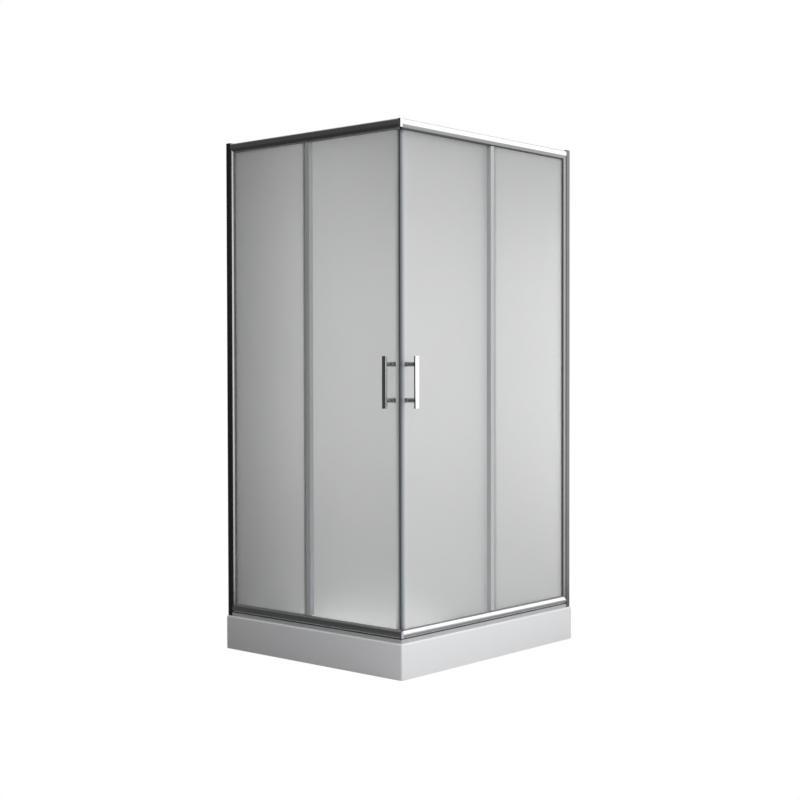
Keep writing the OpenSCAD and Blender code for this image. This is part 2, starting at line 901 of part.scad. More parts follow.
module set_screws(run) {
    for (z = hole_zs(jamb_screw_z, 3)) {
        rod_v(set_screw_u(run), z, partition_v1 - set_screw_depth, wall_v1 + eps, jamb_screw_r);
        rod_v(set_screw_u(run), z, wall_v1, wall_v1 + set_head_t, 2 * jamb_screw_r);
    }
}

module jamb_screws() {
    color([0.7, 0.71, 0.73]) {
        on_front()
            set_screws(tray_w);
        on_side()
            set_screws(tray_d);
    }
}

// Corner connectors: a chrome corner block with a tongue into each rail
module connector_block(face_z0, face_z1, tongue_z0, tongue_z1) {
    out = face_v - connector_proud;
    mid = face_v + connector_face;
    v0 = slot_v0 + tongue_gap;
    v1 = slot_v1 - tongue_gap;
    slab([out, mid], [out, mid], [face_z0, face_z1]);
    slab([v0, v1], [v0, v1], [tongue_z0, tongue_z1]);
    slab([v0, mid + tongue_len], [v0, v1], [tongue_z0, tongue_z1]);
    slab([v0, v1], [v0, mid + tongue_len], [tongue_z0, tongue_z1]);
}

module connector_bores(z0, z1) {
    for (p = [[corner_screw_u, corner_screw_v], [corner_screw_v, corner_screw_u]])
        translate([p[0], p[1], z0])
            cylinder(r = corner_screw_r + screw_gap, h = z1 - z0);
}

module top_corner_connector() {
    tongue_top = roof_z - tongue_gap;
    color([0.8, 0.81, 0.83])
        on_front()
            difference() {
                connector_block(top_rail_z, rail_top, tongue_top - top_tongue_h, tongue_top);
                connector_bores(roof_z - corner_screw_len - eps, roof_z + eps);
            }
}

module bottom_corner_connector() {
    color([0.8, 0.81, 0.83])
        on_front()
            difference() {
                connector_block(groove_z, sill_z, base_top_z + tongue_gap, seat_z - web_t - tongue_gap);
                connector_bores(seat_z - corner_screw_len - eps, seat_z);
            }
}

module corner_screw(top) {
    for (p = [[corner_screw_u, corner_screw_v], [corner_screw_v, corner_screw_u]])
        translate([p[0], p[1], top]) {
            translate([0, 0, -corner_screw_len])
                cylinder(r = corner_screw_r, h = corner_screw_len + corner_head_t / 2);
            cylinder(r = 2 * corner_screw_r, h = corner_head_t);
        }
}

module corner_screws() {
    color([0.7, 0.71, 0.73])
        on_front() {
            corner_screw(rail_top);
            corner_screw(seat_z);
        }
}

// Fixed panes
module fixed_glass(run, opening) {
    u1 = jamb_u(run) + slot_depth - web_t - gasket_t;
    slab([opening, u1], [fixed_v0, fixed_v1], [fixed_z0, fixed_z1]);
}

// A gasket leg on each side of the pane, joined round the pane's edge
module edge_gasket(run, opening) {
    ju = jamb_u(run);
    g0 = slot_v0 + gasket_gap;
    g1 = slot_v1 - gasket_gap;
    p0 = fixed_v0 - gasket_gap;
    p1 = fixed_v1 + gasket_gap;
    us = [opening + eps, ju - gasket_show];
    difference() {
        union() {
            slab(us, [g0, g1], [top_rail_z - gasket_show, roof_z - gasket_gap]);
            slab(us, [g0, g1], [seat_z + gasket_gap, sill_z + gasket_show]);
        }
        slab([opening, run], [p0, p1], [fixed_z0 - gasket_gap, fixed_z1 + gasket_gap]);
    }
    difference() {
        slab([ju - gasket_show + jamb_gap, ju + slot_depth - web_t - gasket_gap], [g0, g1],
            [sill_z + jamb_gap, top_rail_z - jamb_gap]);
        slab([opening, ju + slot_depth - web_t - gasket_t + gasket_gap], [p0, p1],
            [fixed_z0, fixed_z1]);
    }
}

// The strips that close the slots where no pane stands in them
module slot_filler(opening) {
    g0 = slot_v0 + gasket_gap;
    g1 = slot_v1 - gasket_gap;
    u0 = g1 + jamb_gap;
    u1 = opening - strip_t - lip_gap;
    difference() {
        union() {
            slab([u0, u1], [g0, g1], [top_rail_z - gasket_show, top_rail_z + gasket_show]);
            slab([u0, u1], [g0, g1], [seat_z + corner_head_t + lip_gap, sill_z + gasket_show / 2]);
        }
        mitre_cut();
    }
}

module glazing_gasket(run, opening) {
    edge_gasket(run, opening);
    slot_filler(opening);
}

// A channel on the pane's free edge with a lip towards the door glass
module fixed_seal(opening) {
    u0 = opening - strip_t;
    v0 = fixed_v0 - strip_t;
    v1 = fixed_v1 + strip_t;
    linear_extrude_range(strip_z0, strip_z1) {
        difference() {
            translate([u0, v0])
                square([strip_w, v1 - v0]);
            translate([opening, fixed_v0])
                square([strip_w, glass_t]);
        }
        translate([u0, v1 - strip_t / 2])
            square([strip_t, door_v0 - lip_gap - v1 + strip_t / 2]);
    }
}

module linear_extrude_range(z0, z1) {
    translate([0, 0, z0])
        linear_extrude(z1 - z0)
            children();
}

// Doors
module door_glass(opening) {
    difference() {
        slab([door_lead, door_end(opening)], [door_v0, door_v1], [door_z0, door_z1]);
        for (u = hub_us(opening), z = [bottom_axle_z, top_axle_z])
            rod_v(u, z, door_v0 - eps, door_v1 + eps, shank_r + shank_gap);
        for (z = post_zs)
            rod_v(handle_u, z, door_v0 - eps, door_v1 + eps, handle_screw_r + shank_gap);
    }
}

// The clip on the leading glass edge and its 45 degree nose; the two doors' noses meet at the corner
module magnet_seal() {
    nose = door_lead - strip_t;
    linear_extrude_range(door_z0 + seal_foot, door_z1 - seal_head)
        difference() {
            union() {
                polygon([
                    [clip_v0 + lip_gap, clip_v0],
                    [nose + eps, clip_v0],
                    [nose + eps, clip_v1],
                    [clip_v1 + lip_gap, clip_v1]
                ]);
                translate([nose, clip_v0])
                    square([magnet_clip_w + strip_t, clip_v1 - clip_v0]);
            }
            translate([door_lead, door_v0])
                square([magnet_clip_w + eps, glass_t]);
            magnet_outline(screw_gap);
        }
}

module magnet_outline(grow) {
    mid = (clip_v0 + clip_v1) / 2;
    translate([mid + magnet_w / 2, mid])
        rotate([0, 0, 45])
            translate([-magnet_w / 2 - grow, -magnet_t / 2 - grow])
                square([magnet_w + 2 * grow, magnet_t + 2 * grow]);
}

module magnet_strip() {
    linear_extrude_range(door_z0 + seal_foot, door_z1 - seal_head)
        magnet_outline(0);
}

// The channel on a door's trailing edge with a lip towards the fixed pane
module door_seal(opening) {
    u1 = door_end(opening) + strip_t;
    linear_extrude_range(door_z0 + seal_foot, door_z1 - seal_head)
        difference() {
            translate([u1 - strip_w, clip_v0])
                square([strip_w, clip_v1 - clip_v0]);
            translate([u1 - strip_w - eps, door_v0])
                square([strip_w - strip_t + eps, glass_t]);
        }
    linear_extrude_range(strip_z0, strip_z1)
        translate([u1 - strip_w, fixed_v1 + lip_gap])
            square([strip_t, clip_v0 - fixed_v1 - lip_gap + strip_t / 2]);
}

module door_stop(run) {
    u0 = jamb_u(run) - stop_set - stop_len;
    vs = [door_v0 - stop_cheek, door_v1 + stop_cheek];
    slab([u0, u0 + stop_len], vs, [door_z1 - stop_reach, roof_z]);
    slab([u0, u0 + stop_len], vs, [base_top_z, door_z0 + stop_reach]);
}

module door_stops() {
    color([0.12, 0.12, 0.13]) {
        on_front()
            door_stop(tray_w);
        on_side()
            door_stop(tray_d);
    }
}

// Handles
module handle_bar() {
    difference() {
        translate([handle_u - bar_w / 2, bar_v0, handle_z - bar_len / 2])
            rounded_plate([bar_w, bar_t], bar_len, bar_edge_r);
        for (z = post_zs)
            rod_v(handle_u, z, bar_v1 - bar_t / 2, bar_v1 + eps, handle_screw_r + screw_gap);
    }
}

module handle_posts() {
    for (z = post_zs)
        difference() {
            rod_v(handle_u, z, bar_v1, door_v0 - washer_t, post_r);
            rod_v(handle_u, z, bar_v1 - eps, door_v0, handle_screw_r + screw_gap);
        }
}

module handle_washers() {
    for (z = post_zs, v = [door_v0 - washer_t, door_v1])
        difference() {
            rod_v(handle_u, z, v, v + washer_t, post_r);
            rod_v(handle_u, z, v - eps, v + washer_t + eps, handle_screw_r + screw_gap);
        }
}

module handle_screws() {
    for (z = post_zs) {
        rod_v(handle_u, z, bar_v1 - bar_t / 2 + lip_gap, door_v1 + washer_t + eps, handle_screw_r);
        rod_v(handle_u, z, door_v1 + washer_t, door_v1 + washer_t + knob_t, knob_r);
    }
}

// Roller hubs: a shank through the glass between two flanges, then the roller's axle and its end head
module hubs(opening, z) {
    head_v = wheel_v1 + axle_head_gap;
    for (u = hub_us(opening)) {
        rod_v(u, z, door_v0 - hub_flange_t, door_v0, hub_flange_r);
        rod_v(u, z, door_v0 - eps, door_v1 + eps, shank_r);
        rod_v(u, z, door_v1, wheel_v0 - wheel_side_gap, hub_flange_r);
        rod_v(u, z, door_v1, head_v + axle_head_t / 2, axle_r);
        rod_v(u, z, head_v, head_v + axle_head_t, axle_head_r);
    }
}

module wheel(u, z) {
    difference() {
        rod_v(u, z, wheel_v0, wheel_v1, wheel_r);
        rod_v(u, z, wheel_v0 - eps, wheel_v1 + eps, axle_r + screw_gap);
        difference() {
            rod_v(u, z, rib_v - groove_w / 2, rib_v + groove_w / 2, wheel_r + eps);
            rod_v(u, z, wheel_v0, wheel_v1, roll_r);
        }
    }
}

// The same pieces on the front and on the right-hand side
module top_rail_front() {
    color([0.55, 0.56, 0.58])
        on_front()
            top_rail(tray_w);
}

module top_rail_side() {
    color([0.55, 0.56, 0.58])
        on_side()
            top_rail(tray_d);
}

module bottom_rail_front() {
    color([0.55, 0.56, 0.58])
        on_front()
            bottom_rail(tray_w);
}

module bottom_rail_side() {
    color([0.55, 0.56, 0.58])
        on_side()
            bottom_rail(tray_d);
}

module wall_profile_front() {
    color([0.3, 0.31, 0.33])
        on_front()
            wall_profile(tray_w);
}

module wall_profile_side() {
    color([0.3, 0.31, 0.33])
        on_side()
            wall_profile(tray_d);
}

module jamb_front() {
    color([0.78, 0.79, 0.8])
        on_front()
            jamb(tray_w);
}

module jamb_side() {
    color([0.78, 0.79, 0.8])
        on_side()
            jamb(tray_d);
}

module fixed_glass_front() {
    color([0.75, 0.77, 0.78, 0.6])
        on_front()
            fixed_glass(tray_w, front_opening);
}

module fixed_glass_side() {
    color([0.75, 0.77, 0.78, 0.6])
        on_side()
            fixed_glass(tray_d, side_opening);
}

module glazing_gasket_front() {
    color([0.15, 0.15, 0.16])
        on_front()
            glazing_gasket(tray_w, front_opening);
}

module glazing_gasket_side() {
    color([0.15, 0.15, 0.16])
        on_side()
            glazing_gasket(tray_d, side_opening);
}

module fixed_seal_front() {
    color([0.5, 0.53, 0.57])
        on_front()
            fixed_seal(front_opening);
}

module fixed_seal_side() {
    color([0.5, 0.53, 0.57])
        on_side()
            fixed_seal(side_opening);
}

module door_glass_front() {
    color([0.75, 0.77, 0.78, 0.6])
        on_front()
            door_glass(front_opening);
}

module door_glass_side() {
    color([0.75, 0.77, 0.78, 0.6])
        on_side()
            door_glass(side_opening);
}

module magnet_seal_front() {
    color([0.5, 0.53, 0.57])
        on_front()
            magnet_seal();
}

module magnet_seal_side() {
    color([0.5, 0.53, 0.57])
        on_side()
            magnet_seal();
}

module magnet_strip_front() {
    color([0.15, 0.15, 0.16])
        on_front()
            magnet_strip();
}

module magnet_strip_side() {
    color([0.15, 0.15, 0.16])
        on_side()
            magnet_strip();
}

module door_seal_front() {
    color([0.5, 0.53, 0.57])
        on_front()
            door_seal(front_opening);
}

module door_seal_side() {
    color([0.5, 0.53, 0.57])
        on_side()
            door_seal(side_opening);
}

module handle_bar_front() {
    color([0.8, 0.81, 0.83])
        on_front()
            handle_bar();
}

module handle_bar_side() {
    color([0.8, 0.81, 0.83])
        on_side()
            handle_bar();
}

module handle_posts_front() {
    color([0.8, 0.81, 0.83])
        on_front()
            handle_posts();
}

module handle_posts_side() {
    color([0.8, 0.81, 0.83])
        on_side()
            handle_posts();
}

module handle_washers_front() {
    color([0.15, 0.15, 0.16])
        on_front()
            handle_washers();
}

module handle_washers_side() {
    color([0.15, 0.15, 0.16])
        on_side()
            handle_washers();
}

module handle_screws_front() {
    color([0.8, 0.81, 0.83])
        on_front()
            handle_screws();
}

module handle_screws_side() {
    color([0.8, 0.81, 0.83])
        on_side()
            handle_screws();
}

module top_hubs_front() {
    color([0.55, 0.56, 0.58])
        on_front()
            hubs(front_opening, top_axle_z);
}

module top_hubs_side() {
    color([0.55, 0.56, 0.58])
        on_side()
            hubs(side_opening, top_axle_z);
}

module bottom_hubs_front() {
    color([0.55, 0.56, 0.58])
        on_front()
            hubs(front_opening, bottom_axle_z);
}

module bottom_hubs_side() {
    color([0.55, 0.56, 0.58])
        on_side()
            hubs(side_opening, bottom_axle_z);
}

module wheel_front_top_lead() {
    color([0.9, 0.9, 0.88])
        on_front()
            wheel(hub_us(front_opening)[0], top_axle_z);
}

module wheel_front_top_trail() {
    color([0.9, 0.9, 0.88])
        on_front()
            wheel(hub_us(front_opening)[1], top_axle_z);
}

module wheel_front_bottom_lead() {
    color([0.9, 0.9, 0.88])
        on_front()
            wheel(hub_us(front_opening)[0], bottom_axle_z);
}

module wheel_front_bottom_trail() {
    color([0.9, 0.9, 0.88])
        on_front()
            wheel(hub_us(front_opening)[1], bottom_axle_z);
}

module wheel_side_top_lead() {
    color([0.9, 0.9, 0.88])
        on_side()
            wheel(hub_us(side_opening)[0], top_axle_z);
}

module wheel_side_top_trail() {
    color([0.9, 0.9, 0.88])
        on_side()
            wheel(hub_us(side_opening)[1], top_axle_z);
}

module wheel_side_bottom_lead() {
    color([0.9, 0.9, 0.88])
        on_side()
            wheel(hub_us(side_opening)[0], bottom_axle_z);
}

module wheel_side_bottom_trail() {
    color([0.9, 0.9, 0.88])
        on_side()
            wheel(hub_us(side_opening)[1], bottom_axle_z);
}

tray();
tray_tubes();
tray_foot_pads();
tray_foot_rods();
tray_foot_nuts();
drain_flange();
drain_gasket();
drain_cover();
trap_body();
rail_bead();
top_rail_front();
top_rail_side();
bottom_rail_front();
bottom_rail_side();
wall_profile_front();
wall_profile_side();
jamb_front();
jamb_side();
profile_caps();
top_corner_connector();
bottom_corner_connector();
corner_screws();
jamb_screws();
fixed_glass_front();
fixed_glass_side();
glazing_gasket_front();
glazing_gasket_side();
fixed_seal_front();
fixed_seal_side();
door_stops();
door_glass_front();
door_glass_side();
magnet_seal_front();
magnet_seal_side();
magnet_strip_front();
magnet_strip_side();
door_seal_front();
door_seal_side();
handle_bar_front();
handle_bar_side();
handle_posts_front();
handle_posts_side();
handle_washers_front();
handle_washers_side();
handle_screws_front();
handle_screws_side();
top_hubs_front();
top_hubs_side();
bottom_hubs_front();
bottom_hubs_side();
wheel_front_top_lead();
wheel_front_top_trail();
wheel_front_bottom_lead();
wheel_front_bottom_trail();
wheel_side_top_lead();
wheel_side_top_trail();
wheel_side_bottom_lead();
wheel_side_bottom_trail();
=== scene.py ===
import bpy
import bmesh
import math
from mathutils import Matrix, Vector


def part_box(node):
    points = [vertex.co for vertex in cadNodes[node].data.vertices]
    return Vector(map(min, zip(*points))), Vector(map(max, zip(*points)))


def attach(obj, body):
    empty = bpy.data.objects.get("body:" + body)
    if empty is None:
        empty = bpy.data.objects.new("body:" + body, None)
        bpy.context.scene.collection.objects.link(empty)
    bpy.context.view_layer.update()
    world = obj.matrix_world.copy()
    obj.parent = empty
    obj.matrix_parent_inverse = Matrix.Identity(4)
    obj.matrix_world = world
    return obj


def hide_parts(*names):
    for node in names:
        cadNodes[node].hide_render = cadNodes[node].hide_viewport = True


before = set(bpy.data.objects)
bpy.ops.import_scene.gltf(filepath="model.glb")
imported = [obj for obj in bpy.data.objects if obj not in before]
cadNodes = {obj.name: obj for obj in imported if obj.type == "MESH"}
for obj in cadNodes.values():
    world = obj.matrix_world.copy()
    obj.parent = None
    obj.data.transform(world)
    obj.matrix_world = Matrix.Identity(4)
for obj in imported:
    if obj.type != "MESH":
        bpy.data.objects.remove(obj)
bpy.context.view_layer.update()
print("frame loaded with", len(cadNodes), "nodes")

# The plan of the enclosure, in metres. u runs along a side from the entry corner, v runs inwards, z is up.
trayLow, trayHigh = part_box("tray")
plan = {
    "cornerX": trayHigh.x,
    "cornerY": trayLow.y,
    "middle": (-0.0075, 0.0075),  # the tray's middle in x and y
    "rim": trayHigh.z,
    "glassOuter": 0.036,  # v of the door glass
    "glassInner": 0.041,
}
sideNames = ("front", "side")
sidePlace = {
    "front": Matrix(((-1, 0, 0, plan["cornerX"]), (0, 1, 0, plan["cornerY"]), (0, 0, 1, 0), (0, 0, 0, 1))),
    "side": Matrix(((0, -1, 0, plan["cornerX"]), (1, 0, 0, plan["cornerY"]), (0, 0, 1, 0), (0, 0, 0, 1))),
}
acrossAxis = {"front": 1, "side": 0}  # which axis of the frame runs across the glass of a side
alongSide = {"front": Vector((1, 0, 0)), "side": Vector((0, 1, 0))}


def toSide(point, sideName):
    # a place in the frame to (u, v)
    if sideName == "front":
        return plan["cornerX"] - point.x, point.y - plan["cornerY"]
    return point.y - plan["cornerY"], plan["cornerX"] - point.x


def fromSide(u, v, sideName):
    if sideName == "front":
        return plan["cornerX"] - u, plan["cornerY"] + v
    return plan["cornerX"] - v, plan["cornerY"] + u


# Small steps that objects and node trees share

def addObject(name, data):
    thing = bpy.data.objects.new(name, data)
    bpy.context.scene.collection.objects.link(thing)
    return thing


def takeMesh(name, bm):
    mesh = bpy.data.meshes.new(name)
    bm.to_mesh(mesh)
    bm.free()
    return mesh


def emptyTree(owner):
    owner.use_nodes = True
    owner.node_tree.nodes.clear()
    return owner.node_tree


def addRange(tree, source, start, end, low, high, kind="LINEAR"):
    # start..end of the source becomes low..high
    ramp = tree.nodes.new("ShaderNodeMapRange")
    ramp.interpolation_type = kind
    for socket, value in (("From Min", start), ("From Max", end), ("To Min", low), ("To Max", high)):
        ramp.inputs[socket].default_value = value
    tree.links.new(source, ramp.inputs["Value"])
    return ramp.outputs["Result"]


def addMath(tree, operation, first, second):
    # second is a socket or a float
    result = tree.nodes.new("ShaderNodeMath")
    result.operation = operation
    tree.links.new(first, result.inputs[0])
    if isinstance(second, float):
        result.inputs[1].default_value = second
    else:
        tree.links.new(second, result.inputs[1])
    return result.outputs["Value"]


def mixShaders(tree, factor, first, second):
    mixer = tree.nodes.new("ShaderNodeMixShader")
    for place, source in enumerate((factor, first, second)):
        tree.links.new(source, mixer.inputs[place])
    return mixer.outputs["Shader"]


def addOutput(tree, shader, kind):
    output = tree.nodes.new(kind)
    tree.links.new(shader, output.inputs["Surface"])


# Camera

photoView = {
    "azimuth": math.radians(40.07),
    "pitch": math.radians(1.283),
    "roll": math.radians(-0.077),
    "distance": 5.4627,
    "aside": 0.1878,
    "height": 1.0656,
    "centre": plan["middle"],
    "lens": 63.56,
    "shift": -0.0625,
}


def makeCamera(look):
    azimuth, pitch, roll = look["azimuth"], look["pitch"], look["roll"]
    outward = Vector((math.sin(azimuth), -math.cos(azimuth), 0))
    right = Vector((math.cos(azimuth), math.sin(azimuth), 0))
    back = outward * math.cos(pitch) + Vector((0, 0, math.sin(pitch)))
    up = back.cross(right)
    camX = right * math.cos(roll) + up * math.sin(roll)
    camY = up * math.cos(roll) - right * math.sin(roll)
    data = bpy.data.cameras.new("photoCamera")
    data.lens = look["lens"]
    data.shift_x = look["shift"]
    camera = addObject("photoCamera", data)
    spot = outward * look["distance"] + right * look["aside"]
    spot += Vector((*look["centre"], look["height"]))
    turn = Matrix((camX, camY, back)).transposed().to_4x4()
    camera.matrix_world = Matrix.Translation(spot) @ turn
    bpy.context.scene.camera = camera


makeCamera(photoView)

# The room that polished metal mirrors, and what lights the object
studio = {
    "backdrop": 1.0,  # what the camera sees behind the object
    # each tone is (way, cosine where it starts, cosine where it is full, value before, value after)
    "dark": ((-0.715, -0.7, 0.0), 0.8, 0.955, 1.0, 0.45),
    "bright": ((0.72, 0.69, 0.05), 0.45, 0.93, 0.13, 1.35),
    "front": ((0.19, -0.98, 0.0), 0.94, 0.982, 0.0, 2.0),
    "floorTone": ((0.72, 0.69, 0.0), -0.8, 0.75, 0.06, 0.42),
    "belowHorizon": ((0.0, 0.0, -1.0), 0.06, 0.26, 0.0, 1.0),
    "ceiling": ((0.0, 0.0, 1.0), 0.35, 0.9, 0.0, 0.55),
}


def makeStudio(look):
    world = bpy.data.worlds.new("studio")
    bpy.context.scene.world = world
    tree = emptyTree(world)
    nodes, links = tree.nodes, tree.links
    coords = nodes.new("ShaderNodeTexCoord")

    def lobe(name):
        way, start, full, before, after = look[name]
        dot = nodes.new("ShaderNodeVectorMath")
        dot.operation = "DOT_PRODUCT"
        links.new(coords.outputs["Generated"], dot.inputs[0])
        dot.inputs[1].default_value = Vector(way).normalized()
        return addRange(tree, dot.outputs["Value"], start, full, before, after, "SMOOTHSTEP")

    def background(strength=None):
        shader = nodes.new("ShaderNodeBackground")
        shader.inputs["Color"].default_value = (1, 1, 1, 1)
        shader.inputs["Strength"].default_value = look["backdrop"]
        if strength is not None:
            links.new(strength, shader.inputs["Strength"])
        return shader.outputs["Background"]

    walls = addMath(tree, "MULTIPLY", lobe("dark"), lobe("bright"))
    walls = addMath(tree, "ADD", walls, lobe("front"))
    blend = nodes.new("ShaderNodeMix")
    links.new(lobe("belowHorizon"), blend.inputs["Factor"])
    links.new(walls, blend.inputs["A"])
    links.new(lobe("floorTone"), blend.inputs["B"])
    room = background(addMath(tree, "ADD", blend.outputs["Result"], lobe("ceiling")))
    rays = nodes.new("ShaderNodeLightPath")
    seen = mixShaders(tree, rays.outputs["Is Camera Ray"], room, background())
    addOutput(tree, seen, "ShaderNodeOutputWorld")


makeStudio(studio)
bpy.context.scene.view_settings.view_transform = "Standard"

lamps = {
    "windowLamp": {"at": (3.3, -1.15, 2.2), "towards": (0.2, 0.0, 0.9), "size": (2.8, 2.8), "power": 48},
    "topLamp": {"at": (-0.1, 0.1, 6.0), "towards": (-0.05, 0.05, 0.1), "size": (1.4, 1.4), "power": 150},
}
for lampName, lamp in lamps.items():
    lampData = bpy.data.lights.new(lampName, "AREA")
    lampData.shape = "RECTANGLE"
    lampData.size, lampData.size_y = lamp["size"]
    lampData.energy = lamp["power"]
    lampObject = addObject(lampName, lampData)
    aim = (Vector(lamp["towards"]) - Vector(lamp["at"])).to_track_quat("-Z", "Y")
    lampObject.matrix_world = Matrix.Translation(lamp["at"]) @ aim.to_matrix().to_4x4()
    lampObject.visible_camera = False
    lampObject.visible_transmission = False


# Three glowing cards, behind the open wall sides and over the tray. They are only seen through the glass.
cards = {
    # a fade is (axis, where it starts, where it ends, glow before, glow after); the fades multiply
    # lights says whether the card also lights matte faces
    "leftCard": {
        "at": (-0.66, 0.0, 1.05), "size": (2.5, 1.5), "turn": (90, "Y"), "lights": True,
        "fades": ((1, -0.3, 0.4, 0.27, 1.04), (2, 0.1, 0.9, 0.68, 1.0), (2, 1.4, 2.1, 1.0, 0.7)),
    },
    "rightCard": {
        "at": (0.0, 0.71, 1.05), "size": (1.5, 2.5), "turn": (90, "X"), "lights": True,
        "fades": ((0, -0.6, 0.3, 0.7, 1.0), (2, 0.05, 0.9, 0.66, 1.0), (2, 1.3, 2.1, 1.0, 0.5)),
    },
    "floorCard": {  # lightens the panes' feet near the entry corner
        "at": (0.0, -0.27, 0.12), "size": (0.84, 0.40), "turn": (0, "X"), "lights": False,
        "fades": ((0, -0.42, -0.1, 0.0, 1.3),),
    },
}


def makeCard(name, look):
    material = bpy.data.materials.new(name)
    tree = emptyTree(material)
    coords = tree.nodes.new("ShaderNodeTexCoord")
    split = tree.nodes.new("ShaderNodeSeparateXYZ")
    tree.links.new(coords.outputs["Object"], split.inputs["Vector"])
    strength = None
    for axis, start, end, before, after in look["fades"]:
        fade = addRange(tree, split.outputs[axis], start, end, before, after, "SMOOTHSTEP")
        strength = fade if strength is None else addMath(tree, "MULTIPLY", strength, fade)
    glow = tree.nodes.new("ShaderNodeEmission")
    tree.links.new(strength, glow.inputs["Strength"])
    addOutput(tree, glow.outputs["Emission"], "ShaderNodeOutputMaterial")
    bm = bmesh.new()
    bmesh.ops.create_grid(bm, x_segments=1, y_segments=1, size=0.5)
    angle, axis = look["turn"]
    turn = Matrix.Rotation(math.radians(angle), 4, axis)
    place = Matrix.Translation(look["at"]) @ turn @ Matrix.Diagonal((*look["size"], 1, 1))
    bmesh.ops.transform(bm, matrix=place, verts=bm.verts)
    card = addObject(name, takeMesh(name, bm))
    card.data.materials.append(material)
    card.visible_camera = False
    card.visible_glossy = False
    card.visible_diffuse = look["lights"]
    card.visible_shadow = False


for cardName, cardLook in cards.items():
    makeCard(cardName, cardLook)
print("camera and light ready")


# Materials

noiseSpan = (0.1, 0.9)  # the part of a noise that a ramp spreads over its two ends


def startMaterial(name, look):
    material = bpy.data.materials.new(name)
    material.use_nodes = True
    shader = material.node_tree.nodes["Principled BSDF"]
    for socket, value in look.items():
        shader.inputs[socket].default_value = value
    return material


def addNoise(material, scale, stretch=(1, 1, 1), detail=3.0):
    # a pattern on the piece's own coordinates, so it moves with the piece
    nodes, links = material.node_tree.nodes, material.node_tree.links
    coords = nodes.new("ShaderNodeTexCoord")
    mapping = nodes.new("ShaderNodeMapping")
    mapping.inputs["Scale"].default_value = stretch
    links.new(coords.outputs["Object"], mapping.inputs["Vector"])
    pattern = nodes.new("ShaderNodeTexNoise")
    pattern.inputs["Scale"].default_value = scale
    pattern.inputs["Detail"].default_value = detail
    links.new(mapping.outputs["Vector"], pattern.inputs["Vector"])
    return pattern.outputs["Fac"]


def driveRoughness(material, source, low, high):
    tree = material.node_tree
    rough = addRange(tree, source, *noiseSpan, low, high)
    tree.links.new(rough, tree.nodes["Principled BSDF"].inputs["Roughness"])


def tintBetween(material, source, first, second):
    nodes, links = material.node_tree.nodes, material.node_tree.links
    ramp = nodes.new("ShaderNodeValToRGB")
    for stop, place, tone in zip(ramp.color_ramp.elements, noiseSpan, (first, second)):
        stop.position = place
        stop.color = (*tone, 1)
    links.new(source, ramp.inputs["Fac"])
    links.new(ramp.outputs["Color"], nodes["Principled BSDF"].inputs["Base Color"])


def addBump(material, source, height, strength):
    nodes, links = material.node_tree.nodes, material.node_tree.links
    bump = nodes.new("ShaderNodeBump")
    bump.inputs["Strength"].default_value = strength
    bump.inputs["Distance"].default_value = height
    links.new(source, bump.inputs["Height"])
    links.new(bump.outputs["Normal"], nodes["Principled BSDF"].inputs["Normal"])


metalLooks = {
    # name: metallic, line scale, stretch of the lines (small along them), roughness range, cloud scale,
    # bump height, two tones
    "railMetalX": (1.0, 900, (0.01, 1, 1), (0.13, 0.24), 9, 0.00002,
                   ((0.74, 0.75, 0.77), (0.82, 0.83, 0.84))),
    "railMetalY": (1.0, 900, (1, 0.01, 1), (0.13, 0.24), 9, 0.00002,
                   ((0.74, 0.75, 0.77), (0.82, 0.83, 0.84))),
    "postMetal": (1.0, 900, (1, 1, 0.01), (0.14, 0.26), 7, 0.00002,
                  ((0.165, 0.168, 0.172), (0.195, 0.198, 0.202))),
    "jambMetal": (1.0, 900, (1, 1, 0.01), (0.16, 0.26), 7, 0.00002,
                  ((0.30, 0.305, 0.31), (0.35, 0.355, 0.36))),
    "satinMetal": (0.25, 700, (1, 1, 1), (0.5, 0.62), 12, 0.00002,
                   ((0.46, 0.465, 0.475), (0.52, 0.525, 0.53))),
    # painted shade: a near-black copy of the metal for the rails' groove, where shade falls in the recess
    "grooveMetalPaintedShade": (1.0, 700, (1, 1, 1), (0.4, 0.55), 12, 0.00002,
                    ((0.10, 0.095, 0.09), (0.14, 0.135, 0.13))),
    # painted shade: a darker copy of the rail metal for the top rails' downward-facing bevel
    "bevelMetalPaintedShade": (1.0, 900, (1, 1, 1), (0.13, 0.24), 9, 0.00002,
                   ((0.46, 0.465, 0.475), (0.50, 0.505, 0.51))),
    "chrome": (1.0, 260, (1, 1, 1), (0.04, 0.10), 24, 0.000004,
               ((0.80, 0.81, 0.83), (0.86, 0.86, 0.87))),
    # painted shade: a darker copy of chrome for the handle bar's narrow faces and the handle posts
    "chromePaintedShade": (1.0, 260, (1, 1, 1), (0.07, 0.15), 24, 0.000004,
                  ((0.36, 0.365, 0.37), (0.42, 0.425, 0.43))),
    "steel": (1.0, 500, (1, 1, 1), (0.28, 0.42), 60, 0.00002,
              ((0.55, 0.56, 0.58), (0.72, 0.72, 0.73))),
}
metalDetail, metalBump = 2.0, 0.35
finishes = {}
for metalName, (metallic, lineScale, stretch, roughRange, cloudScale, height, tones) in metalLooks.items():
    metal = startMaterial(metalName, {"Metallic": metallic})
    lines = addNoise(metal, lineScale, stretch, metalDetail)  # drawing lines along the profile
    driveRoughness(metal, lines, *roughRange)
    tintBetween(metal, addNoise(metal, cloudScale, detail=metalDetail), *tones)
    addBump(metal, lines, height, metalBump)
    finishes[metalName] = metal

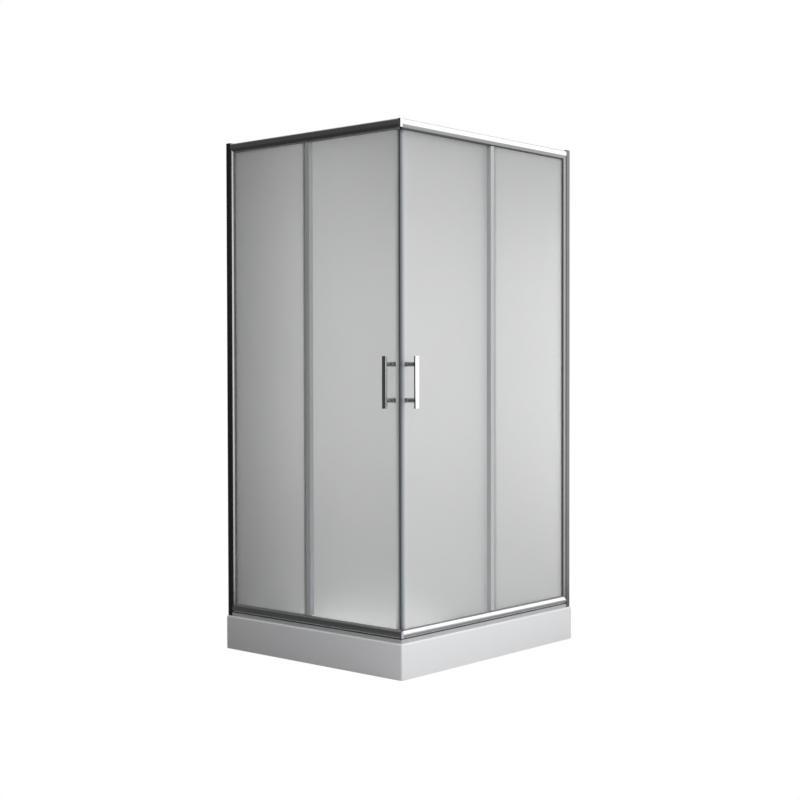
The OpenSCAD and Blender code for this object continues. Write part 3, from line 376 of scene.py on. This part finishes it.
# Satin glass: etched faces that scatter, and ground edges that stay clear
glassLook = {
    "face": {"Transmission Weight": 0.86, "IOR": 1.45, "Specular IOR Level": 0.5},
    "faceTones": ((0.80, 0.805, 0.805), (0.82, 0.825, 0.825)),
    "faceCloud": (70, (1, 1, 1), 1.0),  # scale, stretch, detail
    "faceRough": (0.48, 0.54),
    "roughCloud": 160,
    "faceGrain": (2600, 0.00004, 0.5),  # scale, height, strength
    "edge": {"Transmission Weight": 0.75, "IOR": 1.5, "Roughness": 0.16},
    "edgeTones": ((0.60, 0.70, 0.68), (0.80, 0.88, 0.86)),
    "edgeCloud": (90, (1, 1, 0.2)),
    "edgeGrain": (1500, 0.00003, 0.4),
}


def addGrain(material, scale, height, strength):
    addBump(material, addNoise(material, scale), height, strength)


satin = startMaterial("satinGlass", glassLook["face"])
tintBetween(satin, addNoise(satin, *glassLook["faceCloud"]), *glassLook["faceTones"])
driveRoughness(satin, addNoise(satin, glassLook["roughCloud"]), *glassLook["faceRough"])
addGrain(satin, *glassLook["faceGrain"])
ground = startMaterial("glassEdge", glassLook["edge"])
tintBetween(ground, addNoise(ground, *glassLook["edgeCloud"]), *glassLook["edgeTones"])
addGrain(ground, *glassLook["edgeGrain"])
finishes["satinGlass"], finishes["glassEdge"] = satin, ground

plainLooks = {
    # name: shader sockets, two tones, tone scale, bump scale, bump height, roughness range
    # a roughness range stays on one side of 0.274, where the denoiser changes its mind and leaves flakes
    "acrylic": ({"Coat Weight": 0.35, "Coat Roughness": 0.08, "IOR": 1.49},
                ((0.784, 0.789, 0.804), (0.796, 0.801, 0.816)), 30, 260, 0.000006, (0.23, 0.265)),
    # painted light: a paler copy of rubber for the gaskets where they catch light from above
    "rubberPaintedLight": ({}, ((0.19, 0.195, 0.20), (0.24, 0.245, 0.25)), 60, 1400, 0.00005, (0.45, 0.65)),
    "rubber": ({}, ((0.04, 0.041, 0.043), (0.06, 0.061, 0.063)), 60, 1400, 0.00005, (0.45, 0.65)),
    "blackPlastic": ({}, ((0.02, 0.02, 0.022), (0.04, 0.04, 0.043)), 50, 1800, 0.00006, (0.38, 0.55)),
    "whitePlastic": ({}, ((0.70, 0.70, 0.69), (0.80, 0.80, 0.79)), 18, 900, 0.00005, (0.35, 0.5)),
    "nylon": ({"Subsurface Weight": 0.15, "Subsurface Radius": (0.004, 0.004, 0.003)},
              ((0.74, 0.73, 0.69), (0.82, 0.81, 0.77)), 120, 1600, 0.00004, (0.32, 0.45)),
    "silicone": ({"Coat Weight": 0.2, "Coat Roughness": 0.2},
                 ((0.62, 0.63, 0.65), (0.72, 0.73, 0.74)), 40, 500, 0.0001, (0.35, 0.5)),
    "sealNose": ({"Transmission Weight": 0.2, "IOR": 1.5, "Coat Weight": 0.3, "Coat Roughness": 0.15},
                 ((0.115, 0.135, 0.165), (0.125, 0.145, 0.175)), 120, 900, 0.000008, (0.285, 0.34)),
    "sealPlastic": ({"Transmission Weight": 0.25, "IOR": 1.5, "Coat Weight": 0.2, "Coat Roughness": 0.2},
                    ((0.60, 0.625, 0.65), (0.62, 0.645, 0.67)), 120, 900, 0.000008, (0.3, 0.38)),
    # painted shade: a darker copy of the seal plastic for the side seal's middle, which the lamp lights more
    "sealPaintedShade": ({"Transmission Weight": 0.25, "IOR": 1.5, "Coat Weight": 0.2, "Coat Roughness": 0.2},
                  ((0.31, 0.33, 0.355), (0.33, 0.35, 0.375)), 120, 900, 0.000008, (0.3, 0.38)),
    "sealClear": ({"Transmission Weight": 0.92, "IOR": 1.02, "Specular IOR Level": 0.3},
                  ((0.91, 0.93, 0.95), (0.93, 0.95, 0.97)), 120, 900, 0.000008, (0.4, 0.5)),
    # painted light: a lighter copy of the seal plastic for the front seal's lip
    "sealLipPaintedLight": ({"Transmission Weight": 0.1, "IOR": 1.45},
                ((0.85, 0.87, 0.89), (0.87, 0.89, 0.91)), 120, 900, 0.000008, (0.285, 0.34)),
    "magnet": ({}, ((0.03, 0.034, 0.042), (0.06, 0.065, 0.075)), 80, 1200, 0.00003, (0.5, 0.65)),
}
plainDetail, plainBump = 2.0, 0.6
roughStep = 3  # the roughness pattern is this much finer than the tone pattern
for plainName, (sockets, tones, toneScale, bumpScale, bumpHeight, roughRange) in plainLooks.items():
    plain = startMaterial(plainName, sockets)
    tintBetween(plain, addNoise(plain, toneScale, detail=plainDetail), *tones)
    driveRoughness(plain, addNoise(plain, toneScale * roughStep, detail=plainDetail), *roughRange)
    addGrain(plain, bumpScale, bumpHeight, plainBump)
    finishes[plainName] = plain
print("materials ready:", len(finishes))


# Making pieces

softening = {"merge": 0.000004, "flat": math.radians(0.6), "sharp": math.radians(30)}
spinMerge = 0.000002


def finishPiece(name, bm, body, nodes, materials, side=None, smoothAngle=38, recalc=True):
    # side moves a mesh made in (u, v, z) to its side; recalc turns the faces of built meshes outwards
    if side:
        bmesh.ops.transform(bm, matrix=sidePlace[side], verts=bm.verts)
    if recalc:
        bmesh.ops.recalc_face_normals(bm, faces=bm.faces)
    mesh = takeMesh(name, bm)
    for materialName in materials:
        mesh.materials.append(finishes[materialName])
    mesh.polygons.foreach_set("use_smooth", [True] * len(mesh.polygons))
    mesh.set_sharp_from_angle(angle=math.radians(smoothAngle))
    piece = addObject(name, mesh)
    weighted = piece.modifiers.new("weighted", "WEIGHTED_NORMAL")  # keeps large flats flat beside soft edges
    weighted.keep_sharp = True
    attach(piece, body)
    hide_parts(*nodes)


def softenedCopy(node, width, segments=2, pick=None):
    # a merged copy of a CAD node with a small bevel on its sharp edges, or on those that pick allows
    bm = bmesh.new()
    bm.from_mesh(cadNodes[node].data)
    bmesh.ops.remove_doubles(bm, verts=bm.verts, dist=softening["merge"])
    bmesh.ops.dissolve_limit(bm, angle_limit=softening["flat"], verts=bm.verts, edges=bm.edges)
    sharp = [e for e in bm.edges if len(e.link_faces) == 2 and e.calc_face_angle(0) > softening["sharp"]]
    if pick:
        sharp = [e for e in sharp if pick(e)]
    bmesh.ops.bevel(
        bm, geom=sharp, offset=width, segments=segments, profile=0.5, affect="EDGES",
        clamp_overlap=True, material=-1,
    )
    return bm


def cutAcross(bm, sideName, u):
    # new edges at one u, so that the faces on either side of it can differ
    everything = list(bm.verts) + list(bm.edges) + list(bm.faces)
    cutAt = Vector((*fromSide(u, 0, sideName), 0))
    bmesh.ops.bisect_plane(bm, geom=everything, plane_co=cutAt, plane_no=alongSide[sideName])


def spinRing(bm, points, steps, centre, axis, closed):
    ring = [bm.verts.new(point) for point in points]
    pairs = list(zip(ring, ring[1:])) + ([(ring[-1], ring[0])] if closed else [])
    edges = [bm.edges.new(pair) for pair in pairs]
    bmesh.ops.spin(
        bm, geom=ring + edges, cent=centre, axis=axis, angle=2 * math.pi, steps=steps, use_merge=True
    )
    bmesh.ops.remove_doubles(bm, verts=bm.verts, dist=spinMerge)


def spinLevel(bm, profile, steps, u, z, closed=False):
    # a profile of (v, r), turned round the level axle through (u, z)
    spinRing(bm, [(u, v, z + r) for v, r in profile], steps, (u, 0, z), (0, 1, 0), closed)


def spinUpright(bm, profile, steps, x, y):
    # a profile of (z, r), turned round the upright line through (x, y)
    spinRing(bm, [(x + r, y, z) for z, r in profile], steps, (x, y, 0), (0, 0, 1), False)


def placed(points, base):
    return [(base + along, r) for along, r in points]


def mirrored(points, near, far):
    # the points measured from the near end, and then the same from the far end
    return placed(points, near) + [(far - along, r) for along, r in reversed(points)]


def paintFaces(bm, test, index=1):
    # index is the material's place in the piece's list; faces not painted have the first one
    for face in bm.faces:
        if test(face):
            face.material_index = index


def heightOf(face):
    return face.calc_center_median().z


# Frame of the enclosure: profiles, connectors, screws and seals that keep the CAD's section

trimPieces = {
    # CAD node: (piece name, bevel, slot, material)
    "wall_profile_front": ("wallProfileFront", 0.0003, "dark_aluminium", "postMetal"),
    "wall_profile_side": ("wallProfileSide", 0.0003, "dark_aluminium", "postMetal"),
    "profile_caps": ("profileCaps", 0.0008, "dark_aluminium", "postMetal"),
    "top_corner_connector": ("topCorner", 0.0007, "chrome", "chrome"),
    "bottom_corner_connector": ("bottomCorner", 0.0007, "chrome", "chrome"),
    "fixed_seal_front": ("fixedSealFront", 0.0002, "clear_seal", "sealPlastic"),
    "fixed_seal_side": ("fixedSealSide", 0.0002, "clear_seal", "sealPlastic"),
    "door_stops": ("doorStops", 0.001, "black_plastic", "blackPlastic"),
    "rail_bead": ("railBead", 0.0006, "white_plastic", "silicone"),
    "tray_tubes": ("trayTubes", 0.0006, "steel", "steel"),
    "tray_foot_nuts": ("footNuts", 0.0008, "steel", "steel"),
    "drain_flange": ("drainFlange", 0.0004, "chrome", "chrome"),
    "drain_gasket": ("drainGasket", 0.0004, "rubber", "rubber"),
    "jamb_screws": ("jambScrews", 0.0004, "steel", "steel"),
    "corner_screws": ("cornerScrews", 0.0004, "steel", "steel"),
}
for node, (pieceName, bevelWidth, slotName, materialName) in trimPieces.items():
    trim = softenedCopy(node, bevelWidth)
    finishPiece(pieceName, trim, "enclosure", [node], [materialName], recalc=False)

# Rails have a satin lip and foot and a groove painted dark as shade, and the top ones a downward bevel
# painted darker as shade; jambs slope towards the glass
railLook = {
    "bevel": 0.0003,
    "lipFrom": 1.9126,
    "footTo": 0.1375,
    "grooveTo": 0.1412,
    "lowerBevel": (1.8851, 1.8962),
    "lowerSlope": (-0.95, -0.15),  # upward part of the bevel's normals
    "metal": {"front": "railMetalX", "side": "railMetalY"},
}
gasketLook = {
    "bevel": 0.0005,
    "paintedLightBelow": {"front": 2.0, "side": 0.3},  # above the front's top, so the whole of the front's gasket is painted light
}
jambLook = {
    "bevel": 0.0003,
    "outer": 0.0122,
    "slopeTo": 0.0150,
    "slopeWidth": 0.006,
    "edge": 0.0009,  # how near the outer corner a vertex is pushed in
    "smooth": 16,
}


def onLowerBevel(face):
    low, high = railLook["lowerBevel"]
    steep, shallow = railLook["lowerSlope"]
    return low < heightOf(face) < high and steep < face.normal.z < shallow


for sideName in sideNames:
    endName = sideName.capitalize()
    for level in ("top", "bottom"):
        node = level + "_rail_" + sideName
        rail = softenedCopy(node, railLook["bevel"])
        paintFaces(rail, lambda face: not railLook["footTo"] < heightOf(face) < railLook["lipFrom"])
        # the groove's faces get painted shade
        paintFaces(rail, lambda face: railLook["footTo"] < heightOf(face) < railLook["grooveTo"], 2)
        # the lower bevel faces down and gets painted shade
        paintFaces(rail, onLowerBevel, 3)
        finishPiece(level + "Rail" + endName, rail, "enclosure", [node],
                    [railLook["metal"][sideName], "satinMetal", "grooveMetalPaintedShade", "bevelMetalPaintedShade"], recalc=False)
    node = "glazing_gasket_" + sideName
    gasket = softenedCopy(node, gasketLook["bevel"])
    # faces above this height get the dark rubber; the faces below are painted light, in the paler copy
    paintFaces(gasket, lambda face: heightOf(face) > gasketLook["paintedLightBelow"][sideName])
    finishPiece("gasket" + endName, gasket, "enclosure", [node], ["rubberPaintedLight", "rubber"],
                recalc=False)
    node = "jamb_" + sideName
    jamb = softenedCopy(node, jambLook["bevel"])
    jambU = min(toSide(vert.co, sideName)[0] for vert in jamb.verts)
    cutAcross(jamb, sideName, jambU + jambLook["slopeWidth"])
    for vert in jamb.verts:
        u, v = toSide(vert.co, sideName)
        if v < jambLook["outer"] + jambLook["edge"] and u < jambU + jambLook["edge"]:
            vert.co.x, vert.co.y = fromSide(u, v + jambLook["slopeTo"] - jambLook["outer"], sideName)
    finishPiece("jamb" + endName, jamb, "enclosure", [node], ["jambMetal"],
                smoothAngle=jambLook["smooth"])
print("frame pieces ready")


# Glass

paneEdges = {"arris": 0.0006, "segments": 2, "flat": 0.95}
panes = {
    "fixed_glass_front": ("fixedPaneFront", "enclosure", "front"),
    "fixed_glass_side": ("fixedPaneSide", "enclosure", "side"),
    "door_glass_front": ("doorPaneFront", "door_front", "front"),
    "door_glass_side": ("doorPaneSide", "door_side", "side"),
}
for node, (pieceName, bodyName, sideName) in panes.items():
    pane = softenedCopy(node, paneEdges["arris"], paneEdges["segments"])
    across = acrossAxis[sideName]
    pane.normal_update()
    paintFaces(pane, lambda face: abs(face.normal[across]) < paneEdges["flat"])
    finishPiece(pieceName, pane, bodyName, [node], ["satinGlass", "glassEdge"], recalc=False)
print("glass ready")


# Doors: seals, handles, rollers. Profiles are (distance along the axle, radius).

handle = {
    "u": 0.0665,
    "heights": (0.956, 1.080),
    "barInner": -0.007,
    "barNarrow": 0.7,  # faces of the bar that turn this far along the side are its narrow ones
    "washer": 0.001,
    "steps": 40,
    "postEnd": (  # from either end of a post
        (0.0, 0.0031), (0.0, 0.0076), (0.0004, 0.008), (0.0032, 0.008), (0.0034, 0.0071), (0.0042, 0.0071),
        (0.0044, 0.008),
    ),
    "screwTip": ((-0.0107, 0.0), (-0.0107, 0.0026), (-0.0103, 0.003)),
    "cap": (  # from the inner washer
        (0.0, 0.003), (0.0, 0.0087), (0.0003, 0.009), (0.0022, 0.009), (0.0025, 0.0085), (0.0029, 0.0085),
        (0.0032, 0.0089), (0.0042, 0.0084), (0.0053, 0.0068), (0.0059, 0.0042), (0.006, 0.0),
    ),
}
roller = {
    "from": 0.0463,
    "to": 0.0543,
    "steps": 40,
    "half": (  # from either flat of the roller to its groove
        (0.0, 0.00255), (0.0, 0.0038), (0.0005, 0.0040), (0.0005, 0.0063), (0.0002, 0.0066), (0.0, 0.0070),
        (0.0, 0.0101), (0.0004, 0.0105), (0.0027, 0.0105), (0.0029, 0.0103), (0.0029, 0.0085),
    ),
    "steelTo": 0.0065,  # radius of the steel middle
}
rollerEnds = ("lead", "trail")
hub = {
    "outerCap": (  # from the glass outwards
        (-0.003, 0.0), (-0.003, 0.0030), (-0.0027, 0.0034), (-0.0027, 0.0052), (-0.0024, 0.0062),
        (-0.0018, 0.0068), (-0.0012, 0.007), (-0.0007, 0.007), (-0.0006, 0.0066), (0.0, 0.0066), (0.0, 0.004),
    ),
    "innerFlange": (  # from the glass inwards
        (0.0, 0.004), (0.0, 0.0066), (0.0006, 0.0066), (0.0007, 0.007), (0.0022, 0.007), (0.0030, 0.0060),
    ),
    "axle": ((-0.0010, 0.0042), (-0.0006, 0.0038), (-0.0006, 0.0025)),  # from the roller's near flat
    "head": (  # from its far flat
        (0.0003, 0.0025), (0.0003, 0.0037), (0.0006, 0.004), (0.0010, 0.004), (0.0015, 0.0028), (0.0015, 0.0),
    ),
    "ring": 0.0006,  # thickness of the rubber rings against the glass
    "slack": 0.000001,  # for the rounding of face centres
}
clip = {
    "bevel": 0.0002,
    "bands": (0.0425, 0.0490),  # u where a magnet seal's dark nose ends and where its clear lip starts
    # the front's lip is painted light and the side's middle painted shade, as lit and shaded copies of one
    # seal plastic
    "materials": {
        "front": ["sealNose", "sealPlastic", "sealLipPaintedLight"],
        "side": ["sealNose", "sealPaintedShade", "sealPlastic"],
    },
}
doorTrim = {
    # CAD node without its side: (piece name, bevel, segments, slot, materials)
    "magnet_strip": ("magnetStrip", 0.0001, 2, "black_plastic", ["magnet"]),
    "door_seal": ("doorSeal", 0.0002, 2, "clear_seal", ["sealClear"]),
    "handle_bar": ("handleBar", 0.0009, 3, "chrome", ["chrome", "chromePaintedShade"]),
    "handle_washers": ("handleWashers", 0.0002, 2, "black_plastic", ["blackPlastic"]),
}


def rollerSpot(sideName, level, end):
    # u and z of a roller's axle, from the CAD
    low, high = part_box("_".join(("wheel", sideName, level, end)))
    middle = (Vector(low) + Vector(high)) / 2
    return toSide(middle, sideName)[0], middle.z


def addPost(bm, z):
    profile = mirrored(handle["postEnd"], handle["barInner"], plan["glassOuter"] - handle["washer"])
    spinLevel(bm, profile, handle["steps"], handle["u"], z, closed=True)


def addScrew(bm, z):
    profile = [*handle["screwTip"], *placed(handle["cap"], plan["glassInner"] + handle["washer"])]
    spinLevel(bm, profile, handle["steps"], handle["u"], z)


def addHub(bm, u, z):
    profile = placed(hub["outerCap"], plan["glassOuter"]) + placed(hub["innerFlange"], plan["glassInner"])
    profile += placed(hub["axle"], roller["from"]) + placed(hub["head"], roller["to"])
    spinLevel(bm, profile, roller["steps"], u, z)


def onRing(face):
    v, slack = face.calc_center_median().y, hub["slack"]
    outer, inner = plan["glassOuter"], plan["glassInner"]
    return outer - hub["ring"] - slack < v < outer + slack or inner - slack < v < inner + hub["ring"] + slack


def addWheel(bm, u, z):
    profile = mirrored(roller["half"], roller["from"], roller["to"])
    spinLevel(bm, profile, roller["steps"], u, z, closed=True)


def radiusOf(face, u, z):
    middle = face.calc_center_median()
    return math.hypot(middle.x - u, middle.z - z)


for sideName in sideNames:
    bodyName = "door_" + sideName
    endName = sideName.capitalize()
    for trimNode, (pieceName, bevelWidth, segments, slotName, materialNames) in doorTrim.items():
        node = trimNode + "_" + sideName
        trim = softenedCopy(node, bevelWidth, segments)
        if trimNode == "handle_bar":
            # the bar's narrow faces get painted shade, a darker copy of its chrome
            paintFaces(trim, lambda face: abs(face.normal.dot(alongSide[sideName])) > handle["barNarrow"])
        finishPiece(pieceName + endName, trim, bodyName, [node], materialNames, recalc=False)
    node = "magnet_seal_" + sideName
    magnetSeal = softenedCopy(node, clip["bevel"])
    for band, bandEnd in enumerate(clip["bands"], start=1):
        cutAcross(magnetSeal, sideName, bandEnd)
        paintFaces(magnetSeal, lambda face: toSide(face.calc_center_median(), sideName)[0] > bandEnd, band)
    finishPiece("magnetSeal" + endName, magnetSeal, bodyName, [node],
                clip["materials"][sideName], recalc=False)
    for turnedNode, addTurned, pieceName, finish in (
        # the posts are painted shade as well, in the darker copy of chrome
        ("handle_posts", addPost, "handlePosts", "chromePaintedShade"),
        ("handle_screws", addScrew, "handleScrews", "chrome"),
    ):
        turned = bmesh.new()
        for height in handle["heights"]:
            addTurned(turned, height)
        node = turnedNode + "_" + sideName
        finishPiece(pieceName + endName, turned, bodyName, [node], [finish], sideName)
    for level in ("top", "bottom"):
        hubs = bmesh.new()
        for end in rollerEnds:
            addHub(hubs, *rollerSpot(sideName, level, end))
        paintFaces(hubs, onRing)
        node = level + "_hubs_" + sideName
        finishPiece(level + "Hubs" + endName, hubs, bodyName, [node], ["chrome", "rubber"],
                    sideName)
        for end in rollerEnds:
            u, height = rollerSpot(sideName, level, end)
            wheel = bmesh.new()
            addWheel(wheel, u, height)
            paintFaces(wheel, lambda face: radiusOf(face, u, height) < roller["steelTo"])
            node = "_".join(("wheel", sideName, level, end))
            pieceName = "roller" + endName + level.capitalize() + end.capitalize()
            finishPiece(pieceName, wheel, node, [node], ["nylon", "steel"], sideName)
print("doors ready")


# Tray and its grip dots

trayLook = {"rimBevel": 0.004, "rimSegments": 4, "rimSlack": 0.0002}
grip = {
    "r": 0.0045,
    "topR": 0.002475,
    "height": 0.0006,
    "sides": 10,
    "pitch": 0.030,
    "columns": 8,  # each way from the middle
    "rows": 9,
    "halfWidth": 0.26,
    "drainGap": 0.085,
}
drain = {
    "x": -0.2225,
    "y": 0.2725,
    "floor": 0.083,
    "steps": 72,
    # the cover's profile as heights above the level named before each list, and radii
    "top": 0.094,
    "dome": (
        (-0.0006, 0.0), (-0.0002, 0.014), (0.0, 0.026), (-0.0002, 0.0365), (-0.0011, 0.0376),
        (-0.0011, 0.0388), (-0.0004, 0.0400), (-0.0012, 0.0450), (-0.0026, 0.0500), (-0.0038, 0.0517),
    ),
    "low": 0.088,
    "brim": ((0.0008, 0.052), (0.0, 0.0514), (0.0, 0.030)),
    "inside": ((0.0, 0.028), (0.0, 0.0)),
    "bellLow": 0.063,
    "bell": ((0.0, 0.030), (0.0, 0.028)),
    "lug": (0.005, 0.005, 0.0034),
    "lugAt": 0.0482,
    "lugDown": 0.0013,
    "lugTurns": (0, 120, 240),
    "lugBevel": 0.0005,
    "trapBevel": 0.0008,
}

shell = softenedCopy(
    "tray", trayLook["rimBevel"], trayLook["rimSegments"],
    lambda edge: all(vert.co.z > plan["rim"] - trayLook["rimSlack"] for vert in edge.verts),
)
finishPiece("trayShell", shell, "enclosure", ["tray"], ["acrylic"], recalc=False)

dots = bmesh.new()
middleX, middleY = plan["middle"]
for row in range(-grip["rows"], grip["rows"] + 1):
    for column in range(-grip["columns"], grip["columns"] + 1):
        x = middleX + column * grip["pitch"] + (row % 2) * grip["pitch"] / 2
        y = middleY + row * grip["pitch"]
        nearDrain = math.hypot(x - drain["x"], y - drain["y"]) < grip["drainGap"]
        if nearDrain or abs(x - middleX) > grip["halfWidth"]:
            continue
        bmesh.ops.create_cone(
            dots, cap_ends=True, segments=grip["sides"], radius1=grip["r"], radius2=grip["topR"],
            depth=2 * grip["height"], matrix=Matrix.Translation((x, y, drain["floor"])),
        )
finishPiece("trayGrip", dots, "enclosure", [], ["acrylic"])

# Drain cover with its bell and three lugs, and the trap under it
cover = bmesh.new()
coverProfile = placed(drain["dome"], drain["top"]) + placed(drain["brim"], drain["low"])
coverProfile += placed(drain["bell"], drain["bellLow"]) + placed(drain["inside"], drain["low"])
spinUpright(cover, coverProfile, drain["steps"], drain["x"], drain["y"])
for turn in drain["lugTurns"]:
    lugAt = Matrix.Translation((drain["x"], drain["y"], 0)) @ Matrix.Rotation(math.radians(turn), 4, "Z")
    lugAt = lugAt @ Matrix.Translation((drain["lugAt"], 0, drain["low"] - drain["lugDown"]))
    lug = bmesh.ops.create_cube(cover, size=1.0, matrix=lugAt @ Matrix.Diagonal((*drain["lug"], 1)))
    lugEdges = list({edge for vert in lug["verts"] for edge in vert.link_edges})
    bmesh.ops.bevel(cover, geom=lugEdges, offset=drain["lugBevel"], segments=2, profile=0.5, affect="EDGES",
                    material=-1)
finishPiece("drainCover", cover, "drain_cover", ["drain_cover"], ["chrome"])

trap = softenedCopy("trap_body", drain["trapBevel"])
finishPiece("trapBody", trap, "enclosure", ["trap_body"], ["whitePlastic"], recalc=False)

# Feet: pads with a boss, and threaded rods
feet = {
    "at": ((0.15, 0.13), (0.15, 0.87), (0.75, 0.13), (0.75, 0.87), (0.45, 0.5)),  # from the tray's low corner
    "pad": (
        (0.0, 0.0), (0.0, 0.0252), (0.0008, 0.026), (0.0045, 0.026), (0.0052, 0.0252), (0.0058, 0.023),
        (0.0062, 0.0175), (0.008, 0.0145), (0.0142, 0.012), (0.015, 0.0112), (0.015, 0.0061), (0.004, 0.0061),
        (0.004, 0.0),
    ),
    "padSteps": 40,
    "rodR": 0.006,
    "rodEndR": 0.005,
    "rodRootR": 0.0052,
    "rodLow": 0.004,
    "rodTop": 0.075,
    "rodSteps": 24,
    "thread": 0.00175,
}
rodProfile = [(feet["rodLow"], 0.0), (feet["rodLow"], feet["rodEndR"])]
halfThread = feet["thread"] / 2
crest = feet["rodLow"] + halfThread
while crest + halfThread < feet["rodTop"]:
    rodProfile += [(crest, feet["rodR"]), (crest + halfThread, feet["rodRootR"])]
    crest += feet["thread"]
rodProfile += [(feet["rodTop"], feet["rodEndR"]), (feet["rodTop"], 0.0)]
pads = bmesh.new()
rods = bmesh.new()
for footX, footY in feet["at"]:
    x, y = trayLow.x + footX, trayLow.y + footY
    spinUpright(pads, feet["pad"], feet["padSteps"], x, y)
    spinUpright(rods, rodProfile, feet["rodSteps"], x, y)
finishPiece("footPads", pads, "enclosure", ["tray_foot_pads"], ["blackPlastic"])
finishPiece("footRods", rods, "enclosure", ["tray_foot_rods"], ["steel"])
print("tray, drain and feet ready")


# Floor: white to the camera, graded to polished metal, paper to the rest, and open beyond its reach

floorLook = {
    "radius": 30,
    "segments": 64,
    "z": -0.0002,
    "reach": 2.0,
    "span": (-0.5, 1.0),  # the tones below are spread over this stretch of x
    "paper": ((0.0, 0.05), (0.62, 0.58)),
    "mirrored": ((0.0, 0.06), (0.55, 0.09), (0.75, 0.3), (1.0, 0.6)),
}


def makeFloor(look):
    material = bpy.data.materials.new("floorPaper")
    tree = emptyTree(material)
    nodes, links = tree.nodes, tree.links
    rays = nodes.new("ShaderNodeLightPath")
    coords = nodes.new("ShaderNodeTexCoord")
    split = nodes.new("ShaderNodeSeparateXYZ")
    links.new(coords.outputs["Object"], split.inputs["Vector"])
    across = addRange(tree, split.outputs["X"], *look["span"], 0.0, 1.0)

    def tonesInto(tones, socket):
        ramp = nodes.new("ShaderNodeValToRGB")
        stops = ramp.color_ramp.elements
        while len(stops) < len(tones):
            stops.new(1.0)  # moved to its own place below
        for stop, (place, level) in zip(stops, tones):
            stop.position = place
            stop.color = (level, level, level, 1)
        links.new(across, ramp.inputs["Fac"])
        links.new(ramp.outputs["Color"], socket)

    glow = nodes.new("ShaderNodeEmission")
    tonesInto(look["mirrored"], glow.inputs["Color"])
    matte = nodes.new("ShaderNodeBsdfDiffuse")
    tonesInto(look["paper"], matte.inputs["Color"])
    paper = mixShaders(tree, rays.outputs["Is Glossy Ray"], matte.outputs["BSDF"], glow.outputs["Emission"])
    distance = nodes.new("ShaderNodeVectorMath")
    distance.operation = "LENGTH"
    links.new(coords.outputs["Object"], distance.inputs[0])
    beyond = addMath(tree, "GREATER_THAN", distance.outputs["Value"], look["reach"])
    clear = nodes.new("ShaderNodeBsdfTransparent")
    bounce = mixShaders(tree, beyond, paper, clear.outputs["BSDF"])
    white = nodes.new("ShaderNodeEmission")
    seen = mixShaders(tree, rays.outputs["Is Camera Ray"], bounce, white.outputs["Emission"])
    addOutput(tree, seen, "ShaderNodeOutputMaterial")
    bm = bmesh.new()
    place = Matrix.Translation((0, 0, look["z"]))
    bmesh.ops.create_circle(bm, cap_ends=True, segments=look["segments"], radius=look["radius"], matrix=place)
    floor = addObject("paleFloor", takeMesh("paleFloor", bm))
    floor.data.materials.append(material)


makeFloor(floorLook)
